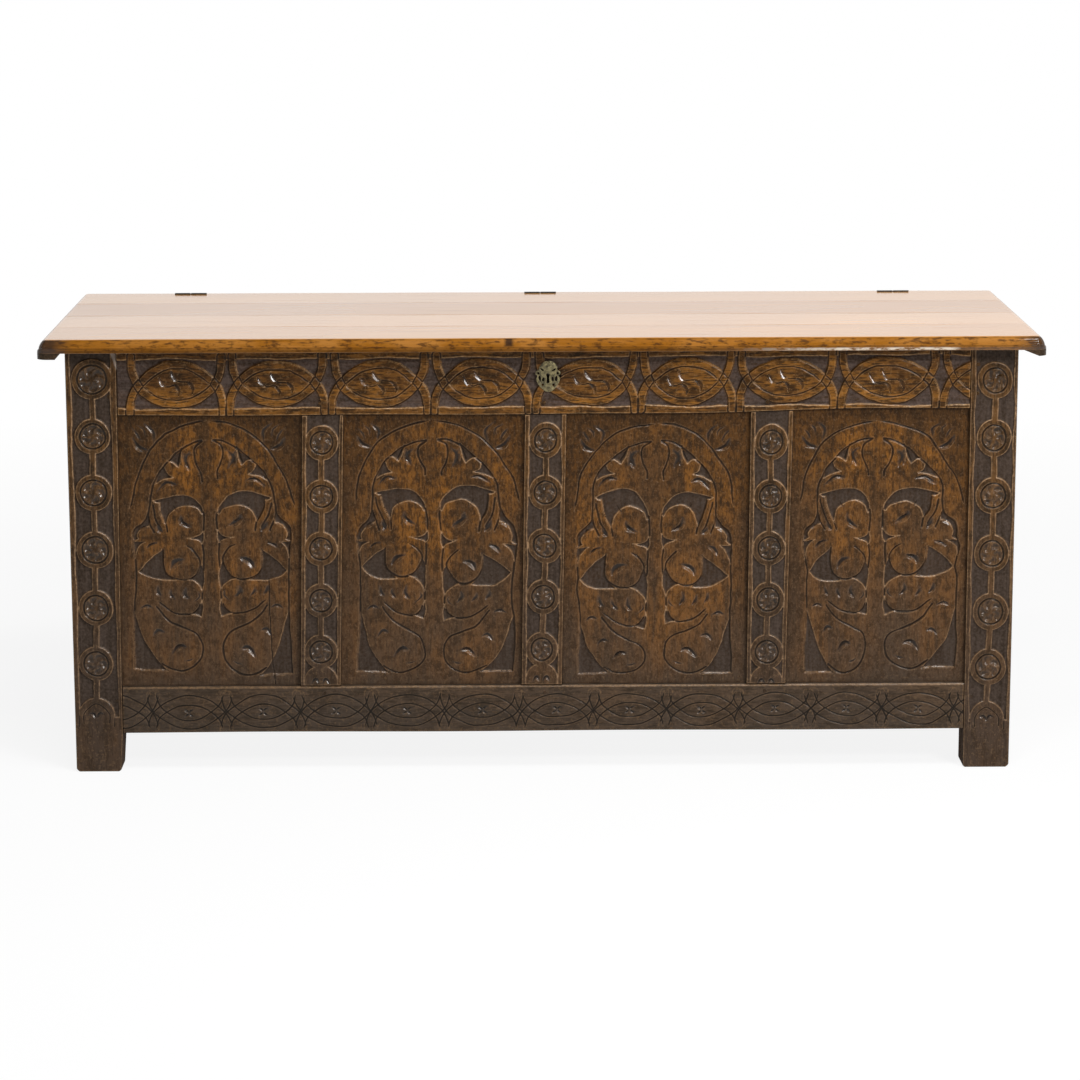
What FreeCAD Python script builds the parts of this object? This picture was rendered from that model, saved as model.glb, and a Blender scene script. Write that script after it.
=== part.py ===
import FreeCAD, Part
import math
import os

# A joined oak coffer: four corner stiles, framed and panelled walls, a boarded floor and a
# boarded lid on three pairs of linked wire loops, with a lock behind a pierced brass plate.
# Millimetres, +Z up, floor at z = 0, front towards -Y, left and right as seen from the front.

Vector = FreeCAD.Vector
along_x, along_y, along_z = Vector(1, 0, 0), Vector(0, 1, 0), Vector(0, 0, 1)

# ---- carcass
carcass_width = 1500.0
carcass_depth = 545.0
carcass_height = 683.0          # floor to the underside of the lid
foot_height = 64.0              # open space under the lowest rails
foot_bevel = 3.0

# ---- frame timbers
left_stile_width = 80.0
right_stile_width = 75.0
stile_depth = 52.0
rail_thickness = 28.0
top_rail_height = 98.0
bottom_rail_height = 76.0
muntin_width = 66.0
long_wall_bays = 4
short_wall_bays = 2

# ---- mortises, tenons and pegs
long_tenon = 45.0               # front and rear rails into the stiles
short_tenon = 30.0              # side rails into the stiles
muntin_tenon = 28.0
tenon_thickness = 9.0
joint_setback = 8.0             # outer face of a frame to its tenons, grooves and panels
tenon_shoulder = 14.0           # step at the plain edge of a rail
mortise_end_room = 2.0
peg_radius = 3.5
peg_clearance = 0.1
peg_inset = 12.0                # peg to the shoulder line
peg_edge = 14.0                 # peg to the edge of a rail's tenon
two_peg_tenon = 40.0            # a taller tenon takes two pegs
peg_sides = 6
drill_overrun = 1.0
mitred = 1                      # how a bar is carried round the corners of its path

# ---- panels
groove_width = 7.0
groove_depth = 10.0
panel_play = 0.2                # slack across the groove
panel_room = 2.0                # room to swell at the sides and the top
panel_thickness = 13.0
panel_feather = 24.0            # width of the bevel round the back

# ---- floor
floor_thickness = 14.0
floor_rise = 12.0               # underside of the boards above the underside of the rails
floor_housing = 10.0            # depth of the groove in the front rail
floor_play = 0.2
floor_room = 1.0                # gap to the stiles and the side rails
floor_board_count = 6
floor_rear_setback = 5.0

# ---- lid
lid_thickness = 21.0
lid_front_overhang = 36.0
lid_end_overhang = 40.0
lid_front_boards = (152.0, 137.0, 157.0)   # the fourth board takes what is left
lip_height = 8.0                # square lip under the rounded edge
lip_step = 2.5                  # the round starts this far inside the lip
lip_slope = 1.5
cleat_gap = 3.0                 # cleat to the side of the carcass
cleat_thickness = 9.5
left_cleat_bevel = 8.0
right_cleat_bevel = 24.0

# ---- nails: shank width, width at the point, head width, head height, width of its flat top
rose_nail = (3.4, 1.4, 9.0, 2.0, 4.0)
plate_pin = (1.8, 0.8, 3.4, 0.8, 1.8)
nail_clearance = 0.1
floor_nail_length = 34.0
floor_nail_shares = (0.3, 0.7)  # places across the width of a board
cleat_nail_length = 24.0
cleat_nail_shares = (0.25, 0.75)
cleat_nail_inset = 10.0         # from the end of the lid
lock_nail_length = 16.0
strap_nail_length = 14.0
plate_pin_length = 12.0

# ---- wire loop hinges
hinge_left_inset = 72.0         # from the inner edge of the stile
hinge_right_inset = 65.0
wire_radius = 2.0
wire_sides = 6
eye_radius = 4.5                # to the middle of the wire
eye_neck = 7.4                  # middle of the eye to where the legs meet
leg_offset = 2.2                # half the spacing of a loop's two legs
hinge_setback = 8.6             # axis behind the rear face of the carcass
hinge_fit = 0.15
clench_reach = 25.0
clench_proud = 0.3              # middle of the clenched wire above the timber

# ---- lock
lock_place = 8.8                # middle of the keyhole along the rail
lock_drop = 42.0                # underside of the lid to the round part of the keyhole
keyhole_radius = 3.1
keyhole_slot_width = 5.2
keyhole_drop = 12.0             # middle of the round part to the foot of the slot
keyhole_ease = 1.2              # the hole in the rail is wider than the plate's
case_width = 116.0
case_room = 8.0                 # underside of the lid to the top of the case
case_below = 38.0               # below the round part of the keyhole
case_depth = 14.0
case_wall = 2.0
case_bevel = 4.0
pin_radius = 1.8                # post on which a hollow key turns
pin_reach = 20.0                # how far the post stands into the rail
bolt_rise = 19.0                # middle of the bolt above the round part of the keyhole
bolt_height = 8.0
bolt_thickness = 4.6
bolt_length = 70.0
bolt_travel = 12.0
bolt_play = 0.3
talon_width = 9.0
talon_depth = 2.5
guide_width = 6.0
guide_wall = 2.5
staple_place = 34.0             # staple to the middle of the keyhole
staple_thickness = 4.0
staple_width = 9.5
staple_play = 0.7               # below the bolt and beyond its end
staple_eye_play = 0.35          # round the bolt when it is thrown
staple_slot_room = 1.5          # beside the staple in the top of the case
strap_length = 56.0
strap_width = 30.0
strap_thickness = 2.5
strap_gap = 1.5                 # strap to the inner face of the front rail
lock_nail_edge = 6.0

# ---- brass plate over the keyhole: discs (across, up, radius) whose union is the outline
plate_thickness = 1.2
plate_crown = (0.0, 13.5, 12.0)
plate_core = (0.0, -1.0, 15.0)
plate_chin = (0.0, -18.5, 8.0)
plate_lobes = ((14.8, 5.4, 5.0), (13.2, -3.5, 6.6), (9.0, -13.0, 7.4))
# piercings on each side (across, up, width, length, lean in degrees)
plate_piercings = (
    (14.8, 5.4, 3.0, 3.0, 0.0),
    (9.6, 11.0, 2.0, 6.0, -48.0),
    (12.0, -3.2, 2.6, 7.6, 6.0),
    (7.4, -5.0, 2.2, 5.6, 0.0),
    (8.0, -13.2, 2.0, 4.4, -24.0),
)
piercing_point = 0.4            # length of a piercing's point, as a share of its width
plate_pin_up = 21.0
plate_pin_down = 21.5

# ---- places worked out from the sizes above
eye_reach = eye_radius + wire_radius * math.cos(math.pi / wire_sides)
overall_depth = lid_front_overhang + carcass_depth + hinge_setback + eye_reach
front_face = lid_front_overhang - overall_depth / 2
rear_face = front_face + carcass_depth
middle_depth = (front_face + rear_face) / 2
left_face = -carcass_width / 2
right_face = carcass_width / 2
left_opening = left_face + left_stile_width
right_opening = right_face - right_stile_width
inner_front = front_face + rail_thickness
panel_top = carcass_height - top_rail_height
panel_bottom = foot_height + bottom_rail_height
floor_underside = foot_height + floor_rise
floor_top = floor_underside + floor_thickness
lid_front = front_face - lid_front_overhang
lid_left = left_face - lid_end_overhang
lid_right = right_face + lid_end_overhang
lid_top = carcass_height + lid_thickness
hinge_line = rear_face + hinge_setback
hinge_places = (left_opening + hinge_left_inset,
                (left_opening + right_opening) / 2,
                right_opening - hinge_right_inset)
lock_height = carcass_height - lock_drop
case_top = carcass_height - case_room


def box(x0, x1, y0, y1, z0, z1):
    return Part.makeBox(x1 - x0, y1 - y0, z1 - z0, Vector(x0, y0, z0))


def prism(points, push):
    """The solid swept by a closed outline of straight edges."""
    return Part.Face(Part.makePolygon(points + points[:1])).extrude(push)


def moved(shape, x, y, z, turn=0.0, axis=along_z):
    placement = FreeCAD.Placement(Vector(x, y, z), FreeCAD.Rotation(axis, turn))
    return shape.transformed(placement.toMatrix(), copy=True)


def joined(shapes):
    return shapes[0].fuse(shapes[1:]).removeSplitter()


# ---- framed walls

def many_sided(centre, normal, upright, radius, sides):
    """A closed outline of equal sides round centre, with flats across upright."""
    sideways = normal.cross(upright)
    corners = []
    for i in range(sides):
        angle = (i + 0.5) * 2 * math.pi / sides
        spoke = upright * math.cos(angle) + sideways * math.sin(angle)
        corners.append(centre + spoke * radius)
    return corners


def peg(x, z):
    """A riven peg, flush with the face of the frame."""
    corners = many_sided(Vector(x, 0, z), along_y, along_z, peg_radius, peg_sides)
    return prism(corners, Vector(0, rail_thickness, 0))


def peg_hole(x, z):
    """The hole takes the shape of the peg driven into it."""
    start = Vector(x, -drill_overrun, z)
    corners = many_sided(start, along_y, along_z, peg_radius + peg_clearance, peg_sides)
    return prism(corners, Vector(0, rail_thickness + 2 * drill_overrun, 0))


class Wall:
    """A frame with its panels, drawn with x along the wall and y inward from its outer face."""

    def __init__(self, start, end, bottom_low, tenon_length, bays, turn, place_x, place_y):
        self.start, self.end = start, end
        self.tenon_length = tenon_length
        self.turn, self.place_x, self.place_y = turn, place_x, place_y
        # heights of each rail, of its tenon and of the groove for the panels
        self.rails = {
            "top_rail": {"edges": (panel_top, carcass_height),
                         "tenon": (panel_top + groove_depth, carcass_height - tenon_shoulder),
                         "groove": (panel_top, panel_top + groove_depth)},
            "bottom_rail": {"edges": (bottom_low, panel_bottom),
                            "tenon": (bottom_low + tenon_shoulder, panel_bottom - groove_depth),
                            "groove": (panel_bottom - groove_depth, panel_bottom)},
        }
        bay = (end - start - (bays - 1) * muntin_width) / bays
        self.bays = []
        for i in range(bays):
            left = start + i * (bay + muntin_width)
            self.bays.append((left, left + bay))
        self.muntins = [right + muntin_width / 2 for left, right in self.bays[:-1]]

    def place(self, shape):
        return moved(shape, self.place_x, self.place_y, 0, self.turn)

    def pegs(self):
        """Places of the pegs as (x, z)."""
        places = []
        for rail in self.rails.values():
            low, high = rail["tenon"]
            rows = [(low + high) / 2]
            if high - low > two_peg_tenon:
                rows = [low + peg_edge, high - peg_edge]
            for z in rows:
                places += [(self.start - peg_inset, z), (self.end + peg_inset, z)]
        for x in self.muntins:
            places += [(x, panel_top + peg_inset), (x, panel_bottom - peg_inset)]
        return places

    def peg_holes(self):
        return [peg_hole(x, z) for x, z in self.pegs()]

    def joint_box(self, x0, x1, z0, z1, thickness):
        return box(x0, x1, joint_setback, joint_setback + thickness, z0, z1)

    def muntin_tongue(self, x, room):
        half = muntin_width / 2 - groove_depth
        reach = muntin_tenon + room
        return self.joint_box(x - half, x + half, panel_bottom - reach, panel_top + reach, tenon_thickness)

    def rail_tongue(self, rail, room):
        reach = self.tenon_length + room
        return self.joint_box(self.start - reach, self.end + reach, *rail["tenon"], tenon_thickness)

    def rail(self, rail):
        body = box(self.start, self.end, 0, rail_thickness, *rail["edges"])
        body = joined([body, self.rail_tongue(rail, 0)])
        cuts = [self.joint_box(self.start, self.end, *rail["groove"], groove_width)]
        cuts += [self.muntin_tongue(x, mortise_end_room) for x in self.muntins]
        return body.cut(cuts + self.peg_holes())

    def muntin(self, x):
        half = muntin_width / 2
        body = box(x - half, x + half, 0, rail_thickness, panel_bottom, panel_top)
        body = joined([body, self.muntin_tongue(x, 0)])
        cuts = []
        for edge in (x - half, x + half - groove_depth):
            cuts.append(self.joint_box(edge, edge + groove_depth, panel_bottom, panel_top, groove_width))
        return body.cut(cuts + self.peg_holes())

    def panel(self, left, right):
        """Flat outside, bevelled round the back to an edge that slides in the grooves."""
        tongue = groove_depth - panel_room
        low = panel_bottom - groove_depth
        edge = groove_width - panel_play
        sheet = self.joint_box(left - tongue, right + tongue, low, panel_top + tongue, edge)
        field = Part.makeWedge(
            left, joint_setback + edge, panel_bottom,
            panel_bottom + panel_feather, left + panel_feather,
            right, joint_setback + panel_thickness, panel_top,
            panel_top - panel_feather, right - panel_feather)
        return joined([sheet, field])

    def stile_cuts(self):
        """What this wall takes out of the stiles at its two ends."""
        cuts = [self.rail_tongue(rail, mortise_end_room) for rail in self.rails.values()]
        cuts.append(self.joint_box(self.start - groove_depth, self.end + groove_depth,
                                   panel_bottom - groove_depth, panel_top + groove_depth, groove_width))
        return [self.place(cut) for cut in cuts + self.peg_holes()]


half_side = carcass_depth / 2 - stile_depth
walls = {
    "front": Wall(left_opening, right_opening, foot_height, long_tenon, long_wall_bays,
                  0, 0, front_face),
    "rear": Wall(-right_opening, -left_opening, floor_top, long_tenon, long_wall_bays,
                 180, 0, rear_face),
    "left": Wall(-half_side, half_side, foot_height, short_tenon, short_wall_bays,
                 -90, left_face, middle_depth),
    "right": Wall(-half_side, half_side, foot_height, short_tenon, short_wall_bays,
                  90, right_face, middle_depth),
}


stile_edges = {
    "left": (left_face, left_opening),
    "right": (right_opening, right_face),
    "front": (front_face, front_face + stile_depth),
    "rear": (rear_face - stile_depth, rear_face),
}


def stile(end, side):
    """A corner post: its mortises and grooves come from the two walls that meet at it."""
    post = box(*stile_edges[side], *stile_edges[end], 0, carcass_height)
    foot_edges = [edge for edge in post.Edges if edge.BoundBox.ZMax < foot_bevel]
    post = post.makeChamfer(foot_bevel, foot_edges)
    return post.cut(walls[end].stile_cuts() + walls[side].stile_cuts())


# ---- nails

def spike(width, end_width, length):
    """A square taper pointing up from z = 0."""
    half, end = width / 2, end_width / 2
    wedge = Part.makeWedge(-half, 0, -half, -end, -end, half, length, half, end, end)
    return moved(wedge, 0, 0, 0, 90, along_x)


def nails_at(places, kind, length, turn=0.0):
    """Square nails and the holes for them.

    Each place is the seat of a four-sided head. A nail points up, or is turned about x by turn.
    """
    width, point, head, height, top = kind
    whole, holes = [], []
    for x, y, z in places:
        shank = spike(width, point, length)
        cap = moved(spike(head, top, height), 0, 0, 0, 180, along_x)
        hole = spike(width + 2 * nail_clearance, point + 2 * nail_clearance, length + nail_clearance)
        whole.append(moved(joined([shank, cap]), x, y, z, turn, along_x))
        holes.append(moved(hole, x, y, z, turn, along_x))
    return whole, holes


# ---- floor

floor_left = left_face + rail_thickness + floor_room
floor_right = right_face - rail_thickness - floor_room
floor_board_width = (floor_right - floor_left) / floor_board_count
floor_front = inner_front - floor_housing + floor_room
floor_rear = rear_face - floor_rear_setback


def floor_nail_places():
    places = []
    for i in range(floor_board_count):
        for share in floor_nail_shares:
            x = floor_left + (i + share) * floor_board_width
            places.append((x, rear_face - rail_thickness / 2, floor_underside))
    return places


def corner_notches():
    """Room round the four stiles for the outer floor boards."""
    notches = []
    for side in ("left", "right"):
        for end in ("front", "rear"):
            x0, x1 = stile_edges[side]
            y0, y1 = stile_edges[end]
            notches.append(box(x0 - floor_room, x1 + floor_room, y0 - floor_room, y1 + floor_room,
                               0, carcass_height))
    return notches


def floor_board(i, holes):
    left = floor_left + i * floor_board_width
    board = box(left, left + floor_board_width, floor_front, floor_rear, floor_underside, floor_top)
    return board.cut(corner_notches() + holes)


# ---- hinges

def wire_loop(centre, out, across, over, depths):
    """Wire hammered to flats and bent into an eye round centre, its two legs side by side.

    out is the way the legs point, and across lies in the plane of the eye. Each leg has its own
    depth along out, where it is clenched over: the first along over, the second the other way.
    """
    # the straight necks touch the eye at this angle from out
    neck_angle = math.atan2(leg_offset, eye_neck) + math.acos(eye_radius / math.hypot(eye_neck, leg_offset))

    def at(along, sideways):
        return centre + out * along + across * sideways

    stretches = []
    for sign, depth in zip((1, -1), depths):
        turn = sign * neck_angle
        spoke = out * math.cos(turn) + across * math.sin(turn)
        forward = out * math.sin(turn) - across * math.cos(turn)
        start = centre + spoke * eye_radius
        corners = many_sided(start, forward, spoke, wire_radius, wire_sides)
        outline = Part.makePolygon(corners + corners[:1])
        corner = at(depth, sign * leg_offset)
        path = Part.makePolygon([start, at(eye_neck, sign * leg_offset), corner,
                                 corner + over * (sign * clench_reach)])
        stretches.append(path.makePipeShell([outline], True, False, mitred))
        if sign > 0:
            axis = out.cross(across)
            stretches.append(Part.Face(outline).revolve(centre, axis, 360 - math.degrees(2 * neck_angle)))
    return joined(stretches)


def bore(start, way, upright, reach, length):
    """A straight many-sided hole whose flats clear what reaches this far from its axis."""
    radius = (reach + hinge_fit) / math.cos(math.pi / wire_sides)
    return prism(many_sided(start, way, upright, radius, wire_sides), way * length)


def wire_seat(centre, out, across, over, depths):
    """The bore for both legs and a groove for each clenched end."""
    cuts = [bore(centre, out, across, leg_offset + wire_radius, max(depths) + wire_radius)]
    for sign, depth in zip((1, -1), depths):
        run = centre + out * depth + across * (sign * leg_offset)
        cuts.append(bore(run, over * sign, out, wire_radius, clench_reach + hinge_fit))
    return cuts


def hinge(place):
    """The two linked loops of one hinge and their seats: in the rear rail, then in the lid."""
    pivot = Vector(place, hinge_line, carcass_height)
    slant = math.sqrt(0.5)          # both loops are driven in at 45 degrees
    down = Vector(0, -slant, -slant)
    up = Vector(0, -slant, slant)
    rail_depth = (hinge_setback + rail_thickness + clench_proud) / slant
    rail_wire = (pivot, down, up, along_x, (rail_depth - leg_offset, rail_depth + leg_offset))
    lid_depth = (lid_thickness + clench_proud) / slant - eye_radius
    lid_wire = (pivot + up * eye_radius, up, along_x, along_x, (lid_depth, lid_depth))
    return wire_loop(*rail_wire), wire_seat(*rail_wire), wire_loop(*lid_wire), wire_seat(*lid_wire)


# ---- lid

lid_round = lid_thickness - lip_height - lip_slope


def line(a, b):
    return Part.LineSegment(a, b).toShape()


def arc(a, b, c):
    return Part.Arc(a, b, c).toShape()


def lid_edge(point):
    """Edge moulding from the underside up: square lip, slope and quarter round.

    point(inset, rise) gives a corner; returns the edges up to the flat top.
    """
    slope_top = lip_height + lip_slope
    middle = lid_round * math.sin(math.pi / 4)
    return [
        line(point(0, 0), point(0, lip_height)),
        line(point(0, lip_height), point(lip_step, slope_top)),
        arc(point(lip_step, slope_top),
            point(lip_step + lid_round - middle, slope_top + middle),
            point(lip_step + lid_round, lid_thickness)),
    ]


def lid_slab():
    """Two mouldings crossed: one runs along the front, the other over both ends."""
    def front(inset, rise):
        return Vector(lid_left, lid_front + inset, carcass_height + rise)

    def left(inset, rise):
        return Vector(lid_left + inset, lid_front, carcass_height + rise)

    def right(inset, rise):
        return Vector(lid_right - inset, lid_front, carcass_height + rise)

    flat = lip_step + lid_round
    depth = rear_face - lid_front
    length_edges = lid_edge(front) + [
        line(front(flat, lid_thickness), front(depth, lid_thickness)),
        line(front(depth, lid_thickness), front(depth, 0)),
        line(front(depth, 0), front(0, 0)),
    ]
    end_edges = lid_edge(left) + lid_edge(right) + [
        line(left(flat, lid_thickness), right(flat, lid_thickness)),
        line(right(0, 0), left(0, 0)),
    ]
    solids = []
    length_push = Vector(lid_right - lid_left, 0, 0)
    for edges, push in ((length_edges, length_push), (end_edges, Vector(0, depth, 0))):
        outline = Part.Wire(Part.__sortEdges__(edges))
        solids.append(Part.Face(outline).extrude(push))
    return solids[0].common(solids[1])


def lid_board_edges():
    edges = [lid_front]
    for width in lid_front_boards:
        edges.append(edges[-1] + width)
    return edges + [rear_face]


def cleat(inner, outer, bevel):
    """A batten across the lid's underside, bevelled on the carcass side."""
    low = carcass_height - cleat_thickness
    towards = 1 if outer > inner else -1
    return prism([
        Vector(inner, lid_front, carcass_height),
        Vector(outer, lid_front, carcass_height),
        Vector(outer, lid_front, low),
        Vector(inner + towards * bevel, lid_front, low),
    ], Vector(0, rear_face - lid_front, 0))


def cleat_nail_places():
    places = []
    edges = lid_board_edges()
    for x in (lid_left + cleat_nail_inset, lid_right - cleat_nail_inset):
        for near, far in zip(edges, edges[1:]):
            for share in cleat_nail_shares:
                places.append((x, near + share * (far - near), carcass_height - cleat_thickness))
    return places


# ---- lock and brass plate

bolt_level = lock_height + bolt_rise
bolt_line = inner_front + (case_depth - case_wall) / 2
bolt_start = lock_place + staple_place - staple_thickness / 2 - staple_play - bolt_length
staple_x = lock_place + staple_place


def keyhole(near, far, ease=0.0):
    """Round hole over a slot, from one depth to another."""
    radius = keyhole_radius + ease
    half = keyhole_slot_width / 2 + ease
    round_part = Part.makeCylinder(radius, far - near, Vector(lock_place, near, lock_height), along_y)
    slot = box(lock_place - half, lock_place + half, near, far,
               lock_height - keyhole_drop - ease, lock_height)
    return joined([round_part, slot])


def bolt_space(start, length, ease):
    half = bolt_height / 2 + ease
    side = bolt_thickness / 2 + ease
    return box(start, start + length, bolt_line - side, bolt_line + side,
               bolt_level - half, bolt_level + half)


def lock_bolt():
    bolt = bolt_space(bolt_start, bolt_length, 0)
    low = bolt_level - bolt_height / 2
    talon = box(lock_place - talon_width / 2, lock_place + talon_width / 2,
                front_face, rear_face, low - talon_depth, low + talon_depth)
    return bolt.cut(talon)


def lock_guide(x):
    """A bridge round the bolt, standing on the back of the case."""
    outer = bolt_space(x, guide_width, bolt_play + guide_wall)
    foot = box(x, x + guide_width, bolt_line, inner_front + case_depth - case_wall,
               outer.BoundBox.ZMin, outer.BoundBox.ZMax)
    front = max(outer.BoundBox.YMin, inner_front + bolt_play)
    body = joined([outer, foot]).common(box(x, x + guide_width, front, rear_face, 0, carcass_height))
    return body.cut(bolt_space(x, guide_width, bolt_play))


def lock_case():
    """A shallow tray nailed over the works, open towards the rail."""
    left, right = lock_place - case_width / 2, lock_place + case_width / 2
    low, high = lock_height - case_below, case_top
    back = inner_front + case_depth
    tray = box(left, right, inner_front, back, low, high)
    rim = [edge for edge in tray.Edges if edge.BoundBox.YMin > back - case_wall]
    tray = tray.makeChamfer(case_bevel, rim)
    tray = tray.cut(box(left + case_wall, right - case_wall, inner_front, back - case_bevel,
                        low + case_wall, high - case_wall))
    tray = tray.cut(box(left + case_wall + case_bevel, right - case_wall - case_bevel,
                        inner_front, back - case_wall,
                        low + case_wall + case_bevel, high - case_wall - case_bevel))
    half = staple_thickness / 2 + staple_slot_room
    slot = box(staple_x - half, staple_x + half, inner_front, back - case_wall,
               bolt_level, high + case_wall)
    post = Part.makeCylinder(pin_radius, pin_reach + case_depth - case_wall / 2,
                             Vector(lock_place, inner_front - pin_reach, lock_height), along_y)
    guides = [lock_guide(bolt_start + guide_width), lock_guide(staple_x - bolt_travel - 2 * guide_width)]
    return joined([tray.cut(slot), post] + guides)


def lock_nail_places():
    places = []
    for x in (lock_place - case_width / 2 + lock_nail_edge, lock_place + case_width / 2 - lock_nail_edge):
        for z in (lock_height - case_below + lock_nail_edge, case_top - lock_nail_edge):
            places.append((x, inner_front + case_depth, z))
    return places


def lid_staple():
    """The plate nailed under the lid, with the tongue that drops into the lock."""
    near = inner_front + strap_gap
    plate = box(staple_x - strap_length / 2, staple_x + strap_length / 2, near, near + strap_width,
                carcass_height - strap_thickness, carcass_height)
    half = staple_thickness / 2
    radius = staple_width / 2
    low = bolt_level - bolt_height / 2 - staple_play - radius
    tongue = box(staple_x - half, staple_x + half, bolt_line - radius, bolt_line + radius,
                 low, carcass_height)
    foot = Part.makeCylinder(radius, staple_thickness, Vector(staple_x - half, bolt_line, low), along_x)
    eye = bolt_space(staple_x - half, staple_thickness, staple_eye_play)
    return joined([plate, tongue, foot]).cut(eye)


def strap_nail_places():
    places = []
    for x in (staple_x - strap_length / 2 + lock_nail_edge, staple_x + strap_length / 2 - lock_nail_edge):
        for y in (inner_front + strap_gap + lock_nail_edge,
                  inner_front + strap_gap + strap_width - lock_nail_edge):
            places.append((x, y, carcass_height - strap_thickness))
    return places


def disc(across, up, radius):
    place = Vector(lock_place + across, front_face - plate_thickness, lock_height + up)
    return Part.makeCylinder(radius, plate_thickness, place, along_y)


def piercing(across, up, width, length, lean):
    """A slot filed to a point at each end, leaning from upright."""
    depth = plate_thickness + 2 * drill_overrun
    shoulder = length / 2 - width * piercing_point
    corners = []
    for x, z in ((0, length / 2), (width / 2, shoulder), (width / 2, -shoulder),
                 (0, -length / 2), (-width / 2, -shoulder), (-width / 2, shoulder)):
        corners.append(Vector(x, -depth / 2, z))
    slot = prism(corners, Vector(0, depth, 0))
    middle = front_face - plate_thickness / 2
    return moved(slot, lock_place + across, middle, lock_height + up, lean, along_y)


def keyhole_plate():
    discs = [disc(*plate_crown), disc(*plate_core), disc(*plate_chin)]
    cuts = [keyhole(front_face - plate_thickness - drill_overrun, front_face)]
    for side in (-1, 1):
        discs += [disc(side * across, up, radius) for across, up, radius in plate_lobes]
        for across, up, width, length, lean in plate_piercings:
            cuts.append(piercing(side * across, up, width, length, side * lean))
    return joined(discs).cut(cuts)


def plate_pin_places():
    seat = front_face - plate_thickness
    heights = (lock_height + plate_pin_up, lock_height - plate_pin_down)
    return [(lock_place, seat, z) for z in heights]


# ---- all the pieces, by node name

pieces = {}

for end in ("front", "rear"):
    for side in ("left", "right"):
        pieces[f"{end}_{side}_stile"] = stile(end, side)

for name, wall in walls.items():
    for rail_name, rail in wall.rails.items():
        pieces[f"{name}_{rail_name}"] = wall.place(wall.rail(rail))
    for i, x in enumerate(wall.muntins, 1):
        pieces[f"{name}_muntin_{i}"] = wall.place(wall.muntin(x))
    for i, (left, right) in enumerate(wall.bays, 1):
        pieces[f"{name}_panel_{i}"] = wall.place(wall.panel(left, right))

pieces["frame_pegs"] = Part.makeCompound(
    [wall.place(peg(x, z)) for wall in walls.values() for x, z in wall.pegs()])

floor_nails, floor_holes = nails_at(floor_nail_places(), rose_nail, floor_nail_length)
for i in range(floor_board_count):
    pieces[f"floor_board_{i + 1}"] = floor_board(i, floor_holes)
pieces["floor_nails"] = Part.makeCompound(floor_nails)
pieces["rear_bottom_rail"] = pieces["rear_bottom_rail"].cut(floor_holes)
pieces["front_bottom_rail"] = pieces["front_bottom_rail"].cut(
    box(left_opening, right_opening, inner_front - floor_housing, inner_front,
        floor_underside, floor_top + floor_play))

slab = lid_slab()
cleat_nails, cleat_holes = nails_at(cleat_nail_places(), rose_nail, cleat_nail_length)
strap_nails, strap_holes = nails_at(strap_nail_places(), rose_nail, strap_nail_length)
rail_loops, rail_seats, lid_loops, lid_seats = [], [], [], []
for place in hinge_places:
    rail_loop, rail_seat, lid_loop, lid_seat = hinge(place)
    rail_loops.append(rail_loop)
    rail_seats += rail_seat
    lid_loops.append(lid_loop)
    lid_seats += lid_seat
pieces["rail_hinge_loops"] = Part.makeCompound(rail_loops)
pieces["lid_hinge_loops"] = Part.makeCompound(lid_loops)
pieces["rear_top_rail"] = pieces["rear_top_rail"].cut(rail_seats)

board_edges = lid_board_edges()
for i, (near, far) in enumerate(zip(board_edges, board_edges[1:]), 1):
    board = slab.common(box(lid_left, lid_right, near, far, carcass_height, lid_top))
    pieces[f"lid_board_{i}"] = board.cut(cleat_holes + strap_holes + lid_seats)
pieces["left_cleat"] = cleat(left_face - cleat_gap, lid_left, left_cleat_bevel).cut(cleat_holes)
pieces["right_cleat"] = cleat(right_face + cleat_gap, lid_right, right_cleat_bevel).cut(cleat_holes)
pieces["cleat_nails"] = Part.makeCompound(cleat_nails)

lock_nails, lock_holes = nails_at(lock_nail_places(), rose_nail, lock_nail_length, 90)
pieces["lock_case"] = lock_case().cut(lock_holes)
pieces["lock_bolt"] = lock_bolt()
pieces["lock_nails"] = Part.makeCompound(lock_nails)
pieces["lid_staple"] = lid_staple().cut(strap_holes)
pieces["staple_nails"] = Part.makeCompound(strap_nails)
pins, pin_holes = nails_at(plate_pin_places(), plate_pin, plate_pin_length, -90)
pieces["keyhole_plate"] = keyhole_plate().cut(pin_holes)
pieces["keyhole_plate_pins"] = Part.makeCompound(pins)
rail_hole = keyhole(front_face, inner_front, keyhole_ease)
pieces["front_top_rail"] = pieces["front_top_rail"].cut([rail_hole] + lock_holes + pin_holes)

os.makedirs("parts", exist_ok=True)
for name, shape in pieces.items():
    shape.exportStep(f"parts/{name}.step")
    print(f"{name}: {len(shape.Solids)} solids, {shape.Volume / 1000:.1f} cm3, valid {shape.isValid()}")
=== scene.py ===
import math
from functools import partialmethod

import bmesh
import bpy
import numpy as np
from mathutils import Matrix, Vector


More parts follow.
